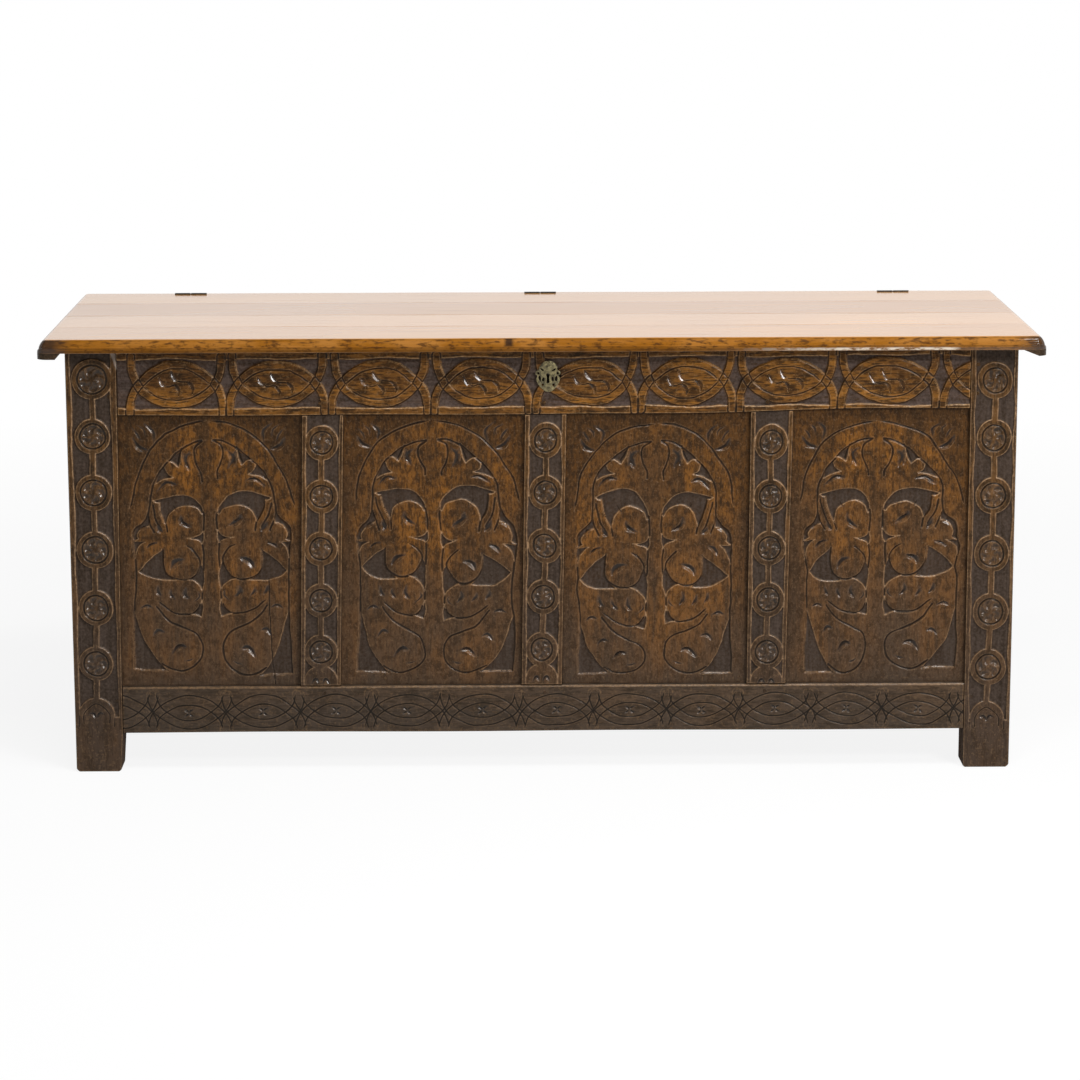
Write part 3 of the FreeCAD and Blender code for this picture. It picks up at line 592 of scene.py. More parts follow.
# the lid is waxed and lies flat, so its grain shows as long streaks under a smooth shine
def paintLid(name, shift):
    look = lidWax
    paint = Paint(name, shift)
    fibre, figure = paint.noise(240, (0.02, 1, 1), 6, 0.65), paint.noise(38, (0.035, 1, 1), 4, 0.6)
    stain, patch = paint.noise(6, (0.4, 1, 1), 3, 0.5), paint.noise(30, (0.35, 1, 1), 4, 0.6)
    speck = paint.noise(230, (0.30, 1, 0.8), 4, 0.65)
    board, edgeOn = paint.attribute("board"), paint.attribute("rim")
    place = paint.node("ShaderNodeSeparateXYZ", Vector=paint.place)
    across, back, height = (paint.value(place.outputs[axis]) for axis in (0, 1, 2))
    across, height = across / mm, height / mm
    pores = fibre.step(0.57, 0.68)
    under = 1 - height.step(*look["underside"])
    lip = edgeOn * (1 - height.step(*look["lipTop"])) * (1 - under)
    endGrain = edgeOn * across.size().step(*look["endGrain"])
    grooveFoot, grooveHead = look["groove"]
    groove = edgeOn * height.step(*grooveFoot) * (1 - height.step(*grooveHead)) * 0.6
    nearEnd = (across.size() + (patch - 0.5) * 60).step(*look["nearEnd"])
    knotEdge = (across + look["knot"] + (speck - 0.5) * 8).size().step(*look["knotSize"])
    knot = edgeOn * (1 - knotEdge) * height.step(*look["knotFoot"])
    highlightFrom, highlightTo = look["highlightStretch"]
    highlightStretch = across.step(*highlightFrom) * (1 - across.step(*highlightTo))

    tone = (figure * 0.45 + fibre * 0.25 + board * 0.30).step(0.38, 0.62)
    paint.colour = paint.mix(tone, look["brown"], look["amber"])
    paint.over((1 - stain.step(0.36, 0.6)) * 0.5, look["brown"])
    paint.over(pores * 0.55, look["dark"])
    paint.over(edgeOn * (0.75 + patch.step(0.45, 0.6) * 0.2), look["edge"])
    paint.over(edgeOn * speck.step(0.50, 0.62) * 0.8, look["dark"])
    paint.over(lip * 0.7, look["lip"])
    # a painted highlight along the lower lip towards the right
    paint.over(lip * highlightStretch * speck.step(0.40, 0.58), look["paleHighlight"])
    # painted shade in the crease of the moulding
    paint.over(groove * (0.5 + speck * 0.5), shaded(look["dark"], 0.5))
    paint.over((edgeOn * nearEnd * 0.85).most(knot * 0.9), look["end"])
    behind = back.step(*look["behind"])
    paint.over((endGrain * 0.8).most(edgeOn * behind * 0.7), shaded(look["end"], 2.2))
    unwaxed = (figure * 0.5 + fibre * 0.5).step(0.40, 0.58)
    paint.over(under, paint.mix(unwaxed, look["underDark"], look["under"]))
    paint.over(paint.attribute("seam") * (0.3 + under * 0.6), shaded(look["dark"], 0.4))
    rough = look["rough"] + (stain - 0.5) * 0.12 + (1 - board) * 0.05 + pores * 0.1
    rough = rough + edgeOn * 0.25 + under * 0.3
    wax = ((1 - edgeOn) * 0.8).most(lip * across.step(250, 420) * 0.9)
    wax = wax.most(edgeOn * nearEnd * (1 - under) * 0.5)
    paint.set(Base_Color=paint.colour, Roughness=rough.clamp(), Specular_IOR_Level=look["shine"],
              Coat_Weight=wax, Coat_Roughness=0.12)
    paint.bump(0.10, 0.0003, fibre * 0.6 + figure * 0.4)
    return paint.material


metals = {
    "iron": {"clean": (0.075, 0.068, 0.062), "dull": (0.045, 0.030, 0.022), "dark": (0.020, 0.016, 0.014),
             "specks": 0.7, "metallic": 0.7, "rough": 0.45, "scale": 140},
    "brass": {"clean": (0.340, 0.285, 0.140), "dull": (0.095, 0.080, 0.048), "dark": (0.035, 0.028, 0.020),
              "specks": 0.55, "metallic": 0.8, "rough": 0.30, "scale": 200},
}


def paintMetal(name):
    look = metals[name]
    paint = Paint(name)
    blotch = paint.noise(look["scale"], detail=5, rough=0.6)
    speck = paint.noise(look["scale"] * 6, detail=3, rough=0.6).step(0.4, 0.65)
    paint.colour = paint.mix(blotch.step(0.35, 0.65), look["clean"], look["dull"])
    paint.over(speck * look["specks"], look["dark"])
    paint.set(Base_Color=paint.colour, Metallic=look["metallic"],
              Roughness=(look["rough"] + blotch * 0.25).clamp(), Specular_IOR_Level=0.5)
    paint.bump(0.4, 0.0004, blotch + speck * 0.5)
    return paint.material


frontUpright = paintOak("oakFrontUpright", 2, "oakUpright", 0.3)
frontRail = paintOak("oakFrontRail", 0, "oakCarved", 1.7)
frontSkirt = paintOak("oakFrontSkirt", 0, "oakSkirt", 3.3)
frontPanel = paintOak("oakFrontPanel", 2, "oakPanel", 4.1)
lidOak = paintLid("oakLid", 6.3)
cleatOak = paintOak("oakCleat", 1, "oakSkirt", 4.7)
sideUpright = paintOak("oakSideUpright", 2, "oakSide", 2.9)
sideRail = paintOak("oakSideRail", 1, "oakSide", 5.2)
backUpright = paintOak("oakBackUpright", 2, "oakBack", 7.7)
backRail = paintOak("oakBackRail", 0, "oakBack", 8.4)
floorOak = paintOak("oakFloor", 1, "oakFloor", 9.1)
iron, brass = paintMetal("iron"), paintMetal("brass")
print("coffer: woods and metals mixed")


# the carved front

frontLow, frontHigh = cadSpan("front_left_stile")
rightHigh, topRailHigh, bottomRailHigh = (cadSpan(f"front_{part}")[1]
                                          for part in ("right_stile", "top_rail", "bottom_rail"))
face, stileBack = frontLow[1], frontHigh[1]
railBack, lidUnderside = topRailHigh[1], topRailHigh[2]
panelLow = bottomRailHigh[2]

# edges of the timbers, from the middle of the chest and the floor up
frontEdges = {
    "leftShoulder": -669.5, "leftLean": (4.5, 690),
    "rightShoulder": 675.5,
    "railUnder": 578.5, "railSlope": (7.5, 120, 480), "railWaver": (0.6, 61.0),
    "footLine": 64.0, "footWaver": (0.5, 93.0),
}


def straight(value):
    return lambda other: value + 0 * other


def leftShoulder(z):
    lean, over = frontEdges["leftLean"]
    return frontEdges["leftShoulder"] - lean * (1 - ease(z / over))


def railUnder(x):
    rise, start, over = frontEdges["railSlope"]
    waver, length = frontEdges["railWaver"]
    return frontEdges["railUnder"] + rise * ease((x - start) / over) + waver * np.sin(x / length)


def railFoot(x):
    waver, length = frontEdges["footWaver"]
    return frontEdges["footLine"] + waver * np.sin(x / length)


rightShoulder, railHead, lidLine = (straight(frontEdges["rightShoulder"]), straight(panelLow),
                                    straight(lidUnderside))

topRail = {
    "centres": (-575.2, -418.2, -255.6, -95.9, 78.1, 224.6, 385.4, 544.8, 708.9),
    "meets": (-497, -337, -176, -16, 151, 305, 465, 627),
    "keyhole": (8.8, 641), "field": ((590.3, 0.0018), (669.4, 0.0026)), "middle": (628.9, 0.0025),
    "arch": ((0, 30.3), (20, 28.2), (38, 20.5), (54.5, 7.5), (64.5, -4), (71, -18), (73.5, -30), (74, -46)),
    "half": 6.2, "depth": 3.8, "pitch": 79.5, "lens": (52, 24, 24), "squeeze": 0.955,
}

# two sprigs lie in each lens: a bud that opens up and a blade that turns down, from their own middles
leafShapes = {
    "bud": np.array([(-7, 8), (-7, 3), (-5, -2), (-1.5, -6.5), (2.5, -8), (7, -6.5), (3.5, -3.5), (0.5, 0),
                     (-2, 4.5), (-4.5, 8.5), (-7, 8)], float),
    "blade": np.array([(-8, 8), (-2, 8.5), (4, 5), (6, -1), (4.5, -6), (2, -9), (1.5, -4), (-1, 1), (-4, 5),
                       (-8, 8)], float),
}
leaves = ({"bud": (-23.5, 3), "blade": (1.2, -9.6), "size": 1.0},
          {"bud": (-4.5, 10.5), "blade": (22.6, -5.2), "size": 1.1})


# one arc of an interlace: half of it is given, and it reaches as far as its neighbours allow
def interlaceArc(half, middle, steps, before=1.0, after=1.0):
    right = half * (after, 1) + middle
    left = half[::-1] * (-before, 1) + middle
    return smoothPath(np.vstack([left[:-1], right]), steps)


def topRailDesign(work):
    x, z = work.x, work.z
    (lowAt, lowSlope), (highAt, highSlope) = topRail["field"]
    fieldLow, fieldHigh = lowAt + x * lowSlope, highAt + x * highSlope
    for signed, sense in ((fieldHigh - z, 1), (z - fieldLow, -1)):
        work.stand(work.all, signed, 0 * x, signed * sense)
    centres, meets, pitch = topRail["centres"], topRail["meets"], topRail["pitch"]
    middles = [topRail["middle"][0] + centre * topRail["middle"][1] for centre in centres]
    reach, shoulder, high = topRail["lens"]
    lines = []
    for i, (centre, middle) in enumerate(zip(centres, middles)):
        before = centre - meets[i - 1] if i else pitch
        after = meets[i] - centre if i < len(centres) - 1 else pitch
        for upDown in (1, -1):
            half = np.array(topRail["arch"], float)
            half[:, 1] *= upDown
            half[4:, 0] *= 1 if upDown > 0 else topRail["squeeze"]
            lines.append(interlaceArc(half, (centre, middle), 7, before / pitch, after / pitch))
            work.standBand(lines[-1], topRail["half"])
        tip, far = (centre - reach * before / pitch, middle), (centre + reach * after / pitch, middle)
        leftSide, rightSide, top, foot = centre - shoulder, centre + shoulder, middle + high, middle - high
        work.standShape(smoothPath([tip, (leftSide, top), (rightSide, top), far, (rightSide, foot),
                                    (leftSide, foot), tip]))
    work.clearGround(topRail["depth"])
    for line in lines:
        work.score(line, 1.8, 1.5, topRail["half"])
    for centre, middle in zip(centres, middles):
        for leaf in leaves:
            size, at = leaf["size"], np.array((centre, middle))
            bud, blade = at + leaf["bud"], at + leaf["blade"]
            stem = [bud + (5 * size, -6 * size), bud + (10, -7), blade + (-7 * size, 8 * size)]
            work.score(smoothPath(stem), 1.5, 1.4)
            # the chisel was held a little flatter at each lens along the rail
            work.scoop(smoothPath(leafShapes["bud"] * size + bud, 4), 2.4, 0.30 - 0.00023 * centre, 0.33)
            # the blade's floor is painted dark as shade
            work.scoop(smoothPath(leafShapes["blade"] * size + blade, 4), 2.2, -0.30, -0.10, 0.62, 0.3)
    # the plain margins are browner than the interlace
    work.polish = np.where(z < fieldLow, 0.4, np.where(z > fieldHigh, 0.6, 1.0))
    # under the pierced plate the wood is cut away and painted dark as shade, and the keyhole runs in deep
    lockX, lockZ = topRail["keyhole"]
    overX, overZ = x - lockX, z - lockZ
    under = np.hypot(overX / 17.3, (overZ + 2) / 16) < 1
    pit = (np.hypot(overX, overZ) < 3.2) | ((np.abs(overX) < 2.0) & (z < lockZ) & (z > lockZ - 13))
    work.cut[under] = np.maximum(work.cut[under], 5.0)
    work.cut[pit] = 26.5
    work.line[under] = 1.0


# reach and lag of a blade's start, end and bend, with its width, depth, fullest point and how dark its upper
# side is painted as shade
pinBlade = {"path": ((0.12, 0.0), (0.98, 0.75), (0.62, 0.12)), "width": 0.64, "cut": (3.4, 0.62, 0.75)}


# blades of a pinwheel: each is a gouge that sweeps out from the middle
def pinwheel(work, x, z, radius, blades, turn):
    for k in range(blades):
        a = turn + 2 * math.pi * k / blades
        points = [(x + radius * reach * math.cos(a - lag), z + radius * reach * math.sin(a - lag))
                  for reach, lag in pinBlade["path"]]
        work.gouge(*points, radius * pinBlade["width"], *pinBlade["cut"])


roundels = {
    "left": {
        "centres": ((-708, 636.2), (-710.2, 545.4), (-710.4, 455.6), (-711, 362.8), (-712.3, 269.4),
                    (-713.8, 177.8)),
        "arch": (-715.5, 92.0), "fillets": (-742, -679.5), "radii": (28.5, 29.5), "inner": 20.5,
        "sizes": (1.1, 0.95, 1.0, 1.0, 0.97, 0.94, 1.0)},
    "right": {
        "centres": ((714.5, 629.5), (714.9, 537.0), (715.5, 444.8), (715.2, 352.0), (714.8, 255.8),
                    (713.1, 165.6)),
        "arch": (712.5, 80.0), "fillets": (683.5, 745.5), "radii": (28.0, 29.5), "inner": 19.5},
    "bar": 4.2,      # half width of the bars between the roundels
    "blades": 6,     # some pinwheels have one fewer
    "depth": 3.6,
}


# roundels left standing down a stripe of sunk ground, joined by bars
def roundelRun(work, run):
    centres = [*run["centres"], run["arch"]]
    radiusX, radiusZ = run["radii"]
    sizes = run.get("sizes", (1,) * len(centres))
    for (x, z), size in zip(centres, sizes):
        work.standOval(x, z, radiusX * size, radiusZ * size)
    for above, below in zip(centres, centres[1:]):
        if above[1] - below[1] > radiusZ * 2 + 6:
            work.standBand(np.array([above, below], float), roundels["bar"])
    rng = np.random.default_rng(int(abs(centres[0][0])))
    for (x, z), size in zip(run["centres"], sizes):
        inner = run["inner"] * size
        ring = [(x + inner * math.cos(a), z + inner * 1.04 * math.sin(a))
                for a in np.linspace(0, 2 * math.pi, 17)]
        work.score(smoothPath(ring, 4), 2.2, 2.2)
        pinwheel(work, x, z, inner * 0.93, roundels["blades"] - int(rng.integers(0, 2)), rng.uniform(0, 1))


# a sliver has split off where the left stile meets the lid
chip = {"top": (-684, 684), "foot": (-669.5, 650), "slope": 0.55}


def splitChip(work):
    (x0, z0), (x1, z1) = chip["top"], chip["foot"]
    past = ((work.x - x0) * (z0 - z1) + (work.z - z0) * (x1 - x0)) / math.hypot(x1 - x0, z1 - z0)
    gone = (past > 0) & (work.z > z1)
    work.cut[gone] = np.maximum(work.cut[gone], 0.5 + past[gone] * chip["slope"])
    work.bare[gone] = np.clip(past[gone] / 1.5, 0, 1)
    work.ground[gone] = 0


def stileDesign(run):
    def design(work):
        work.standBeside(*run["fillets"])
        roundelRun(work, run)
        (x, z), inner = run["arch"], run["inner"]
        # below the last arch the face is left plain
        plain = z - 3
        work.stand(work.all, work.z - plain, 0 * work.x, plain - work.z)
        work.clearGround(roundels["depth"])
        foot, haunch = (inner, -12), (inner * 0.94, 5)
        arch = [(x + side * over, z + up) for side, (over, up) in
                ((-1, foot), (-1, haunch), (1, (0, inner)), (1, haunch), (1, foot))]
        work.score(smoothPath(arch), 1.4, 1.1)
        for side in (-1, 1):
            work.score(smoothPath([(x + side * 28, z - 18), (x + side * 28.5, z)]), 1.2, 0.8)
            work.gouge((x, z - 4), (x + side * 12, z + 3), (x + side * 5, z + 4), 6.5, 2.8, 0.45)
        if x < 0:
            splitChip(work)
    return design


# a stile's foot is rubbed round at its corners
def footRound(z, size, reach):
    return size * fade(z, reach) ** 2


def leftInner(z):
    return leftShoulder(z) - 4 * fade(z, 60) - footRound(z, 4, 5)


def leftOuter(z):
    return frontLow[0] + footRound(z, 5, 6)


def rightInner(z):
    return rightShoulder(z) + footRound(z, 4, 5)


def rightOuter(z):
    return rightHigh[0] - footRound(z, 5, 6)


stileShape = {"cell": 1.2, "low": straight(0.0), "high": lidLine, "face": face, "back": stileBack,
              "slip": 0.8}
railShape = {"left": leftShoulder, "right": rightShoulder, "face": face, "back": railBack}
carvedTimber("front_left_stile", {**stileShape, "left": leftOuter, "right": leftInner, "seed": 11},
             stileDesign(roundels["left"]), frontUpright)
carvedTimber("front_right_stile", {**stileShape, "left": rightInner, "right": rightOuter, "seed": 12},
             stileDesign(roundels["right"]), frontUpright)
carvedTimber("front_top_rail",
             {**railShape, "cell": 1.26, "low": railUnder, "high": lidLine, "seed": 21, "slip": 1.3},
             topRailDesign, frontRail)

bottomRail = {
    "centres": (-684, -566.7, -449.1, -332.2, -217.6, -98.1, 22.2, 139.3, 254.9, 372.2, 486.3, 602.1, 719),
    "arch": ((0, 19.6), (18, 17.2), (34, 9.5), (48, -1), (56, -12), (61, -28)),
    "half": 7.2, "middle": 98.6, "chamfer": 4.0,
}


def bottomRailDesign(work):
    for centre in bottomRail["centres"]:
        middle = bottomRail["middle"] + 0.6 * math.sin(centre)
        for upDown in (1, -1):
            half = np.array(bottomRail["arch"], float) * (1, upDown)
            work.score(interlaceArc(half, (centre, middle), 6), 1.8, 1.5, bottomRail["half"], 0.03)
        # four short gouges make a little butterfly in each lens
        for side, upDown in ((-1, -1), (1, -1), (-1, 1), (1, 1)):
            work.gouge((centre + 8 * side, middle + 6 * upDown), (centre + 0.5 * side, middle),
                       (centre + 3 * side, middle + 3.5 * upDown), 5.0, 2.6)


carvedTimber("front_bottom_rail",
             {**railShape, "cell": 1.2, "low": railFoot, "high": railHead, "seed": 31, "slip": 1.4,
              "chamfer": bottomRail["chamfer"]},
             bottomRailDesign, frontSkirt)

# each edge is given where it meets the lower rail and the upper one
muntins = {
    "front_muntin_1": {
        "left": (-388.5, -379.5), "right": (-323.5, -313.5), "seed": 41,
        "centres": ((-349.0, 534.2), (-351, 447.5), (-352.3, 363.5), (-353.5, 279.0), (-354.8, 196.0))},
    "front_muntin_2": {
        "left": (-35.0, -28.0), "right": (30.5, 38.5), "seed": 42,
        "centres": ((5.2, 537.0), (4.6, 452.4), (3.2, 366.5), (0.8, 284.5), (-2.0, 198.4))},
    "front_muntin_3": {
        "left": (325.5, 328.5), "right": (389.0, 396.5), "seed": 43,
        "centres": ((361.5, 532.2), (360.9, 445.3), (360.4, 361.2), (359.0, 277.5), (358.0, 192.4))},
}
muntinRun = {"radii": (26, 28), "inner": 17.6, "margins": (7, 6.5), "lowest": (-0.5, -51)}


def lean(pair):
    low, high = pair
    return lambda z: low + (high - low) * np.clip((z - 140) / 440, 0, 1)


def muntinDesign(spec):
    def design(work):
        lowX, lowZ = spec["centres"][-1]
        overX, overZ = muntinRun["lowest"]
        x, z = lowX + overX, lowZ + overZ
        leftMargin, rightMargin = muntinRun["margins"]
        work.standBeside(lean(spec["left"])(work.z) + leftMargin, lean(spec["right"])(work.z) - rightMargin)
        roundelRun(work, {**muntinRun, "centres": spec["centres"], "arch": (x, z)})
        work.clearGround(roundels["depth"])
        for side in (-1, 1):
            work.gouge((x + side * 2, z - 3), (x + side * 15, z - 4), (x + side * 8, z + 5), 6.5, 2.8)
    return design


for name, spec in muntins.items():
    carvedTimber(name,
                 {**stileShape, "left": lean(spec["left"]), "right": lean(spec["right"]), "low": railHead,
                  "high": railUnder, "back": railBack, "seed": spec["seed"]},
                 muntinDesign(spec), frontUpright)

# half of the tree of life on each panel, from its centre line and the floor up
tree = {
    "pockets": {
        "crownNotch": [[(44, 520), (56, 513), (68, 504)], [(68, 504), (60, 503), (51, 496)],
                       [(51, 496), (46, 507), (44, 520)]],
        "lobeNotch": [[(74, 499), (84, 485), (90, 467)], [(90, 467), (78, 475), (60, 480)],
                      [(60, 480), (69, 486), (74, 499)]],
        "brow": [[(92, 441), (73, 447), (52, 451), (33, 448), (20, 438), (12, 426), (10, 414)],
                 [(10, 414), (13, 412), (18, 422), (28, 428), (41, 431), (52, 427), (62, 418), (66, 406),
                  (68, 396)],
                 [(68, 396), (74, 408), (79, 423), (82, 438)], [(82, 438), (87, 438), (92, 441)]],
        "budNotch": [[(97, 412), (104, 398), (116, 388), (120, 377), (120, 366)],
                     [(120, 366), (116, 368), (112, 372)],
                     [(112, 372), (114, 379), (109, 387), (101, 392), (94, 394)],
                     [(94, 394), (94, 403), (97, 412)]],
        "hookNotch": [[(102, 366), (120, 364)], [(120, 364), (120, 350), (119, 333)],
                      [(119, 333), (115, 348), (109, 359), (102, 366)]],
        "eye": [[(75, 349), (96, 333), (115, 313)], [(115, 313), (105, 305), (88, 298), (71, 297),
                                                     (56, 298)],
                [(56, 298), (65, 305), (74, 315), (76, 331), (75, 349)]],
        "forkUpper": [[(10, 385), (15, 378), (25, 374), (36, 374)],
                      [(36, 374), (26, 370), (17, 365), (13, 358)],
                      [(13, 358), (10, 371), (10, 385)]],
        "forkMiddle": [[(18, 328), (22, 315), (29, 306), (39, 301)],
                       [(39, 301), (28, 297), (19, 290), (15, 281)],
                       [(15, 281), (12, 299), (13, 317), (18, 328)]],
        "forkLower": [[(15, 268), (17, 256), (24, 247), (32, 242)], [(32, 242), (24, 240), (15, 237)],
                      [(15, 237), (13, 252), (15, 268)]],
        "corner": [[(117, 248), (118, 203), (118, 157)], [(118, 157), (71, 157)],
                   [(71, 157), (86, 174), (100, 199), (109, 224), (117, 248)]],
    },
    "lines": {
        "outerArch": [(2, 563), (31, 558), (58, 548), (79, 534), (96, 515), (109, 493), (117, 472),
                      (121, 445), (125, 425)],
        "innerArch": [(9, 534), (26, 531), (47, 520), (65, 505), (81, 489), (90, 471), (95, 453),
                      (96, 429), (97, 412),
                      (105, 397), (116, 388), (120, 376), (120, 350), (118, 313), (117, 256), (118, 203),
                      (118, 157)],
        "base": [(118, 157), (71, 157)],
        "flame": [(9, 533), (21, 525), (23, 513), (19, 498), (13, 485), (12, 472)],
        "flameSide": [(43, 524), (48, 512), (52, 502)],
        "trunkUpper": [(10, 416), (9, 400), (10, 385)],
        "leafOne": [(82, 438), (79, 423), (74, 408), (68, 396), (66, 385)],
        "leafTwo": [(91, 433), (87, 416), (82, 400), (75, 389)],
        "leafThree": [(96, 412), (93, 397), (87, 385)],
        "lowerScroll": [(36, 354), (24, 342), (18, 329), (22, 316), (29, 306), (39, 301), (52, 300),
                        (65, 305),
                        (74, 315), (76, 331), (75, 349)],
        "leafHeel": [(15, 281), (15, 274), (15, 268)],
        "leafUnder": [(17, 260), (21, 250), (31, 242), (46, 242), (63, 248), (83, 265)],
        "pearTop": [(83, 254), (73, 240), (60, 230), (37, 220), (22, 211), (15, 195), (16, 179), (24, 167),
                    (35, 160),
                    (50, 156), (65, 159), (79, 167)],
        "trunkLower": [(13, 358), (12, 338), (13, 317)],
    },
    # start, end, a point on the way, width
    "gouges": [((28, 520), (30, 489), (38, 505), 6.5), ((54, 467), (88, 453), (71, 470), 5),
               ((42, 519), (41, 492), (38, 506), 4.5), ((45, 412), (26, 388), (42, 397), 6),
               ((83, 396), (73, 384), (79, 388), 5), ((96, 392), (109, 386), (103, 391), 3.5),
               ((82, 365), (101, 347), (93, 359), 5), ((42, 333), (65, 315), (57, 328), 7),
               ((41, 290), (35, 268), (43, 277), 5), ((65, 286), (57, 268), (64, 276), 4.5),
               ((84, 290), (77, 272), (83, 279), 4.5), ((88, 250), (109, 249), (99, 255), 4),
               ((71, 217), (90, 209), (82, 219), 4.5), ((40, 191), (65, 180), (52, 193), 6),
               ((98, 561), (86, 529), (84, 547), 4), ((120, 540), (93, 519), (111, 525), 5.5),
               ((110, 558), (98, 538), (99, 550), 2.2), ((117, 552), (105, 531), (109, 542), 2.6),
               ((22, 283), (30, 262), (20, 272), 2.4), ((60, 434), (50, 418), (57, 428), 2.0),
               ((28, 175), (44, 170), (36, 171), 2.2)],
    "dots": [(41, 542), (98, 478), (75, 517), (39, 480), (116, 507), (57, 557), (112, 438), (92, 500),
             (22, 548),
             (105, 455), (4, 470), (70, 565), (126, 525)],
    "ground": 3.6,
}

# heights in the drawing that are found again on the panels; on some halves the leaf's heel is matched lower
treeHeights = (157, 195, 220, 242, 280, 298, 313, 349, 374, 396, 412, 431, 451, 489, 534, 563)
lowHeelHeights = (157, 195, 220, 242, 270, 298, 313, 349, 374, 396, 412, 431, 451, 489, 534, 563)

# where each half of a panel carries the drawing: heights in the drawing and on the panel, and its width
panels = {
    "front_panel_1": {
        "seed": 51, "middle": -527.5, "split": ((91, 314), (91, 262), (93.5, 222), (94, 186), (98, 141)),
        "left": {"drawn": treeHeights,
                 "placed": (165, 205, 231, 257, 292, 314, 325, 363, 380, 404, 419, 433, 450, 487, 537, 569),
                 "wide": (1.07, 1.06, 1.05, 1.05, 1.04, 1.03, 1.03, 1.02, 1.02, 1.02, 1.02, 1.0, 1.0, 1.0,
                          1.0, 1.04)},
        "right": {"drawn": lowHeelHeights,
                  "placed": (158, 203, 234, 258, 284, 312, 328, 365, 379, 408, 420, 434, 457, 492, 537,
                             568),
                  "wide": (1.06, 1.06, 1.05, 1.05, 1.05, 1.05, 1.05, 1.04, 1.06, 1.07, 1.07, 1.07, 1.05,
                           1.0, 1.0, 1.03)},
    },
    "front_panel_2": {
        "seed": 52, "middle": -174.5,
        "left": {"drawn": treeHeights,
                 "placed": (161, 200, 227, 254, 291, 314, 332, 365, 379, 409, 424, 441, 461, 494, 539, 568),
                 "wide": (1.03, 1.02, 1.0, 1.0, 1.0, 1.0, 0.99, 1.0, 1.01, 0.98, 1.0, 1.0, 1.01, 1.01, 1.0,
                          1.0)},
        "right": {"drawn": lowHeelHeights,
                  "placed": (161, 197, 222, 249, 275, 301, 322, 354, 375, 408, 423, 441, 464, 492, 539,
                             567),
                  "wide": (1.06, 1.08, 1.08, 1.08, 1.07, 1.07, 1.07, 1.08, 1.1, 1.12, 1.12, 1.1, 1.09,
                           1.06, 1.02, 1.02)},
    },
    "front_panel_3": {
        "seed": 53, "middle": 179.0,
        "left": {"drawn": treeHeights,
                 "placed": (157, 190, 209, 236, 272, 295, 311, 349, 368, 395, 408, 430, 457, 488, 533, 562),
                 "wide": (1.04, 1.04, 1.03, 1.03, 1.04, 1.06, 1.04, 1.05, 1.03, 1.04, 1.03, 1.03, 1.03,
                          1.04, 1.0, 1.0)},
        "right": {"drawn": (157, 242, 349, 451, 563), "placed": (157, 242, 349, 451, 563),
                  "wide": (1.03, 1.03, 1.0, 1.0, 1.0)},
    },
    "front_panel_4": {
        "seed": 54, "middle": 530.5,
        "left": {"drawn": treeHeights,
                 "placed": (157, 205, 230, 256, 290, 307, 322, 359, 378, 401, 418, 437, 457, 491, 537, 565),
                 "wide": (0.93, 0.93, 0.93, 0.93, 0.93, 0.94, 0.92, 0.96, 0.95, 0.97, 0.97, 0.97, 0.96,
                          0.98, 0.99, 0.98)},
        "right": {"drawn": treeHeights,
                  "placed": (165, 205, 227, 256, 294, 313, 328, 364, 379, 409, 420, 436, 457, 489, 537,
                             564),
                  "wide": (1.1, 1.12, 1.12, 1.12, 1.11, 1.1, 1.06, 1.12, 1.08, 1.12, 1.12, 1.1, 1.09, 1.05,
                           1.02, 1.01)},
    },
}


def carveTree(work):
    for outline in tree["pockets"].values():
        work.sink(closedPath(outline), tree["ground"])
    for label, path in tree["lines"].items():
        work.score(smoothPath(path), 2.2, 2.0, ends=0.05 if label in ("outerArch", "leafUnder") else 0)
    for start, end, through, width in tree["gouges"]:
        work.gouge(start, end, through, width * 1.7, min(3.9, 0.64 * width))
    for x, z in tree["dots"]:
        work.dot(x, z, 2.1, 1.4)


def panelDesign(spec):
    def design(work):
        archX, archZ = np.array(tree["lines"]["outerArch"])[::-1].T
        for label, sense in (("left", -1), ("right", 1)):
            drawn, placed, wide = (spec[label][key] for key in ("drawn", "placed", "wide"))
            pick = np.flatnonzero((work.x - spec["middle"]) * sense >= 0)
            z = work.z[pick]
            # past its ends the drawing runs on at its own scale
            beyond = np.maximum(z - placed[-1], 0) + np.minimum(z - placed[0], 0)
            drawnZ = np.interp(z, placed, drawn) + beyond
            wide = np.interp(drawnZ, drawn, wide)
            half = Carving((work.x[pick] - spec["middle"]) * sense / wide, drawnZ)
            half.sense = sense
            carveTree(half)
            half.pullX = half.pullX * wide * sense
            reach = np.interp(drawnZ, archZ, archX, right=-10)
            half.polish = ease(0.5 + (reach - half.x) / 30) * ease((drawnZ - 130) / 50)
            for field in ("cut", "ground", "line", "edge", "polish", "gloss", "paleHighlight", "pull", "pullX",
                          "pullZ"):
                getattr(work, field)[pick] = getattr(half, field)
        if "split" in spec:
            work.score(np.array(spec["split"], float) + (spec["middle"], 0), 0.9, 3.0)
    return design


# how far the panel's raised back clears its grooves, the thickness left in them, and the bevel
panelBack = {"room": 8, "tongue": 6.8, "feather": 24}

for name, spec in panels.items():
    low, high = cadSpan(name)
    room, back = panelBack["room"], low[1] + panelBack["tongue"]
    field = {"x0": low[0] + room, "x1": high[0] - room, "z0": panelLow, "z1": high[2] - room, "near": back,
             "far": high[1], "feather": panelBack["feather"]}
    carvedTimber(name,
                 {"cell": 1.25, "left": straight(low[0]), "right": straight(high[0]), "low": straight(low[2]),
                  "high": straight(high[2]), "face": low[1], "back": back, "seed": spec["seed"], "slip": 1.5,
                  "field": field},
                 panelDesign(spec), frontPanel)

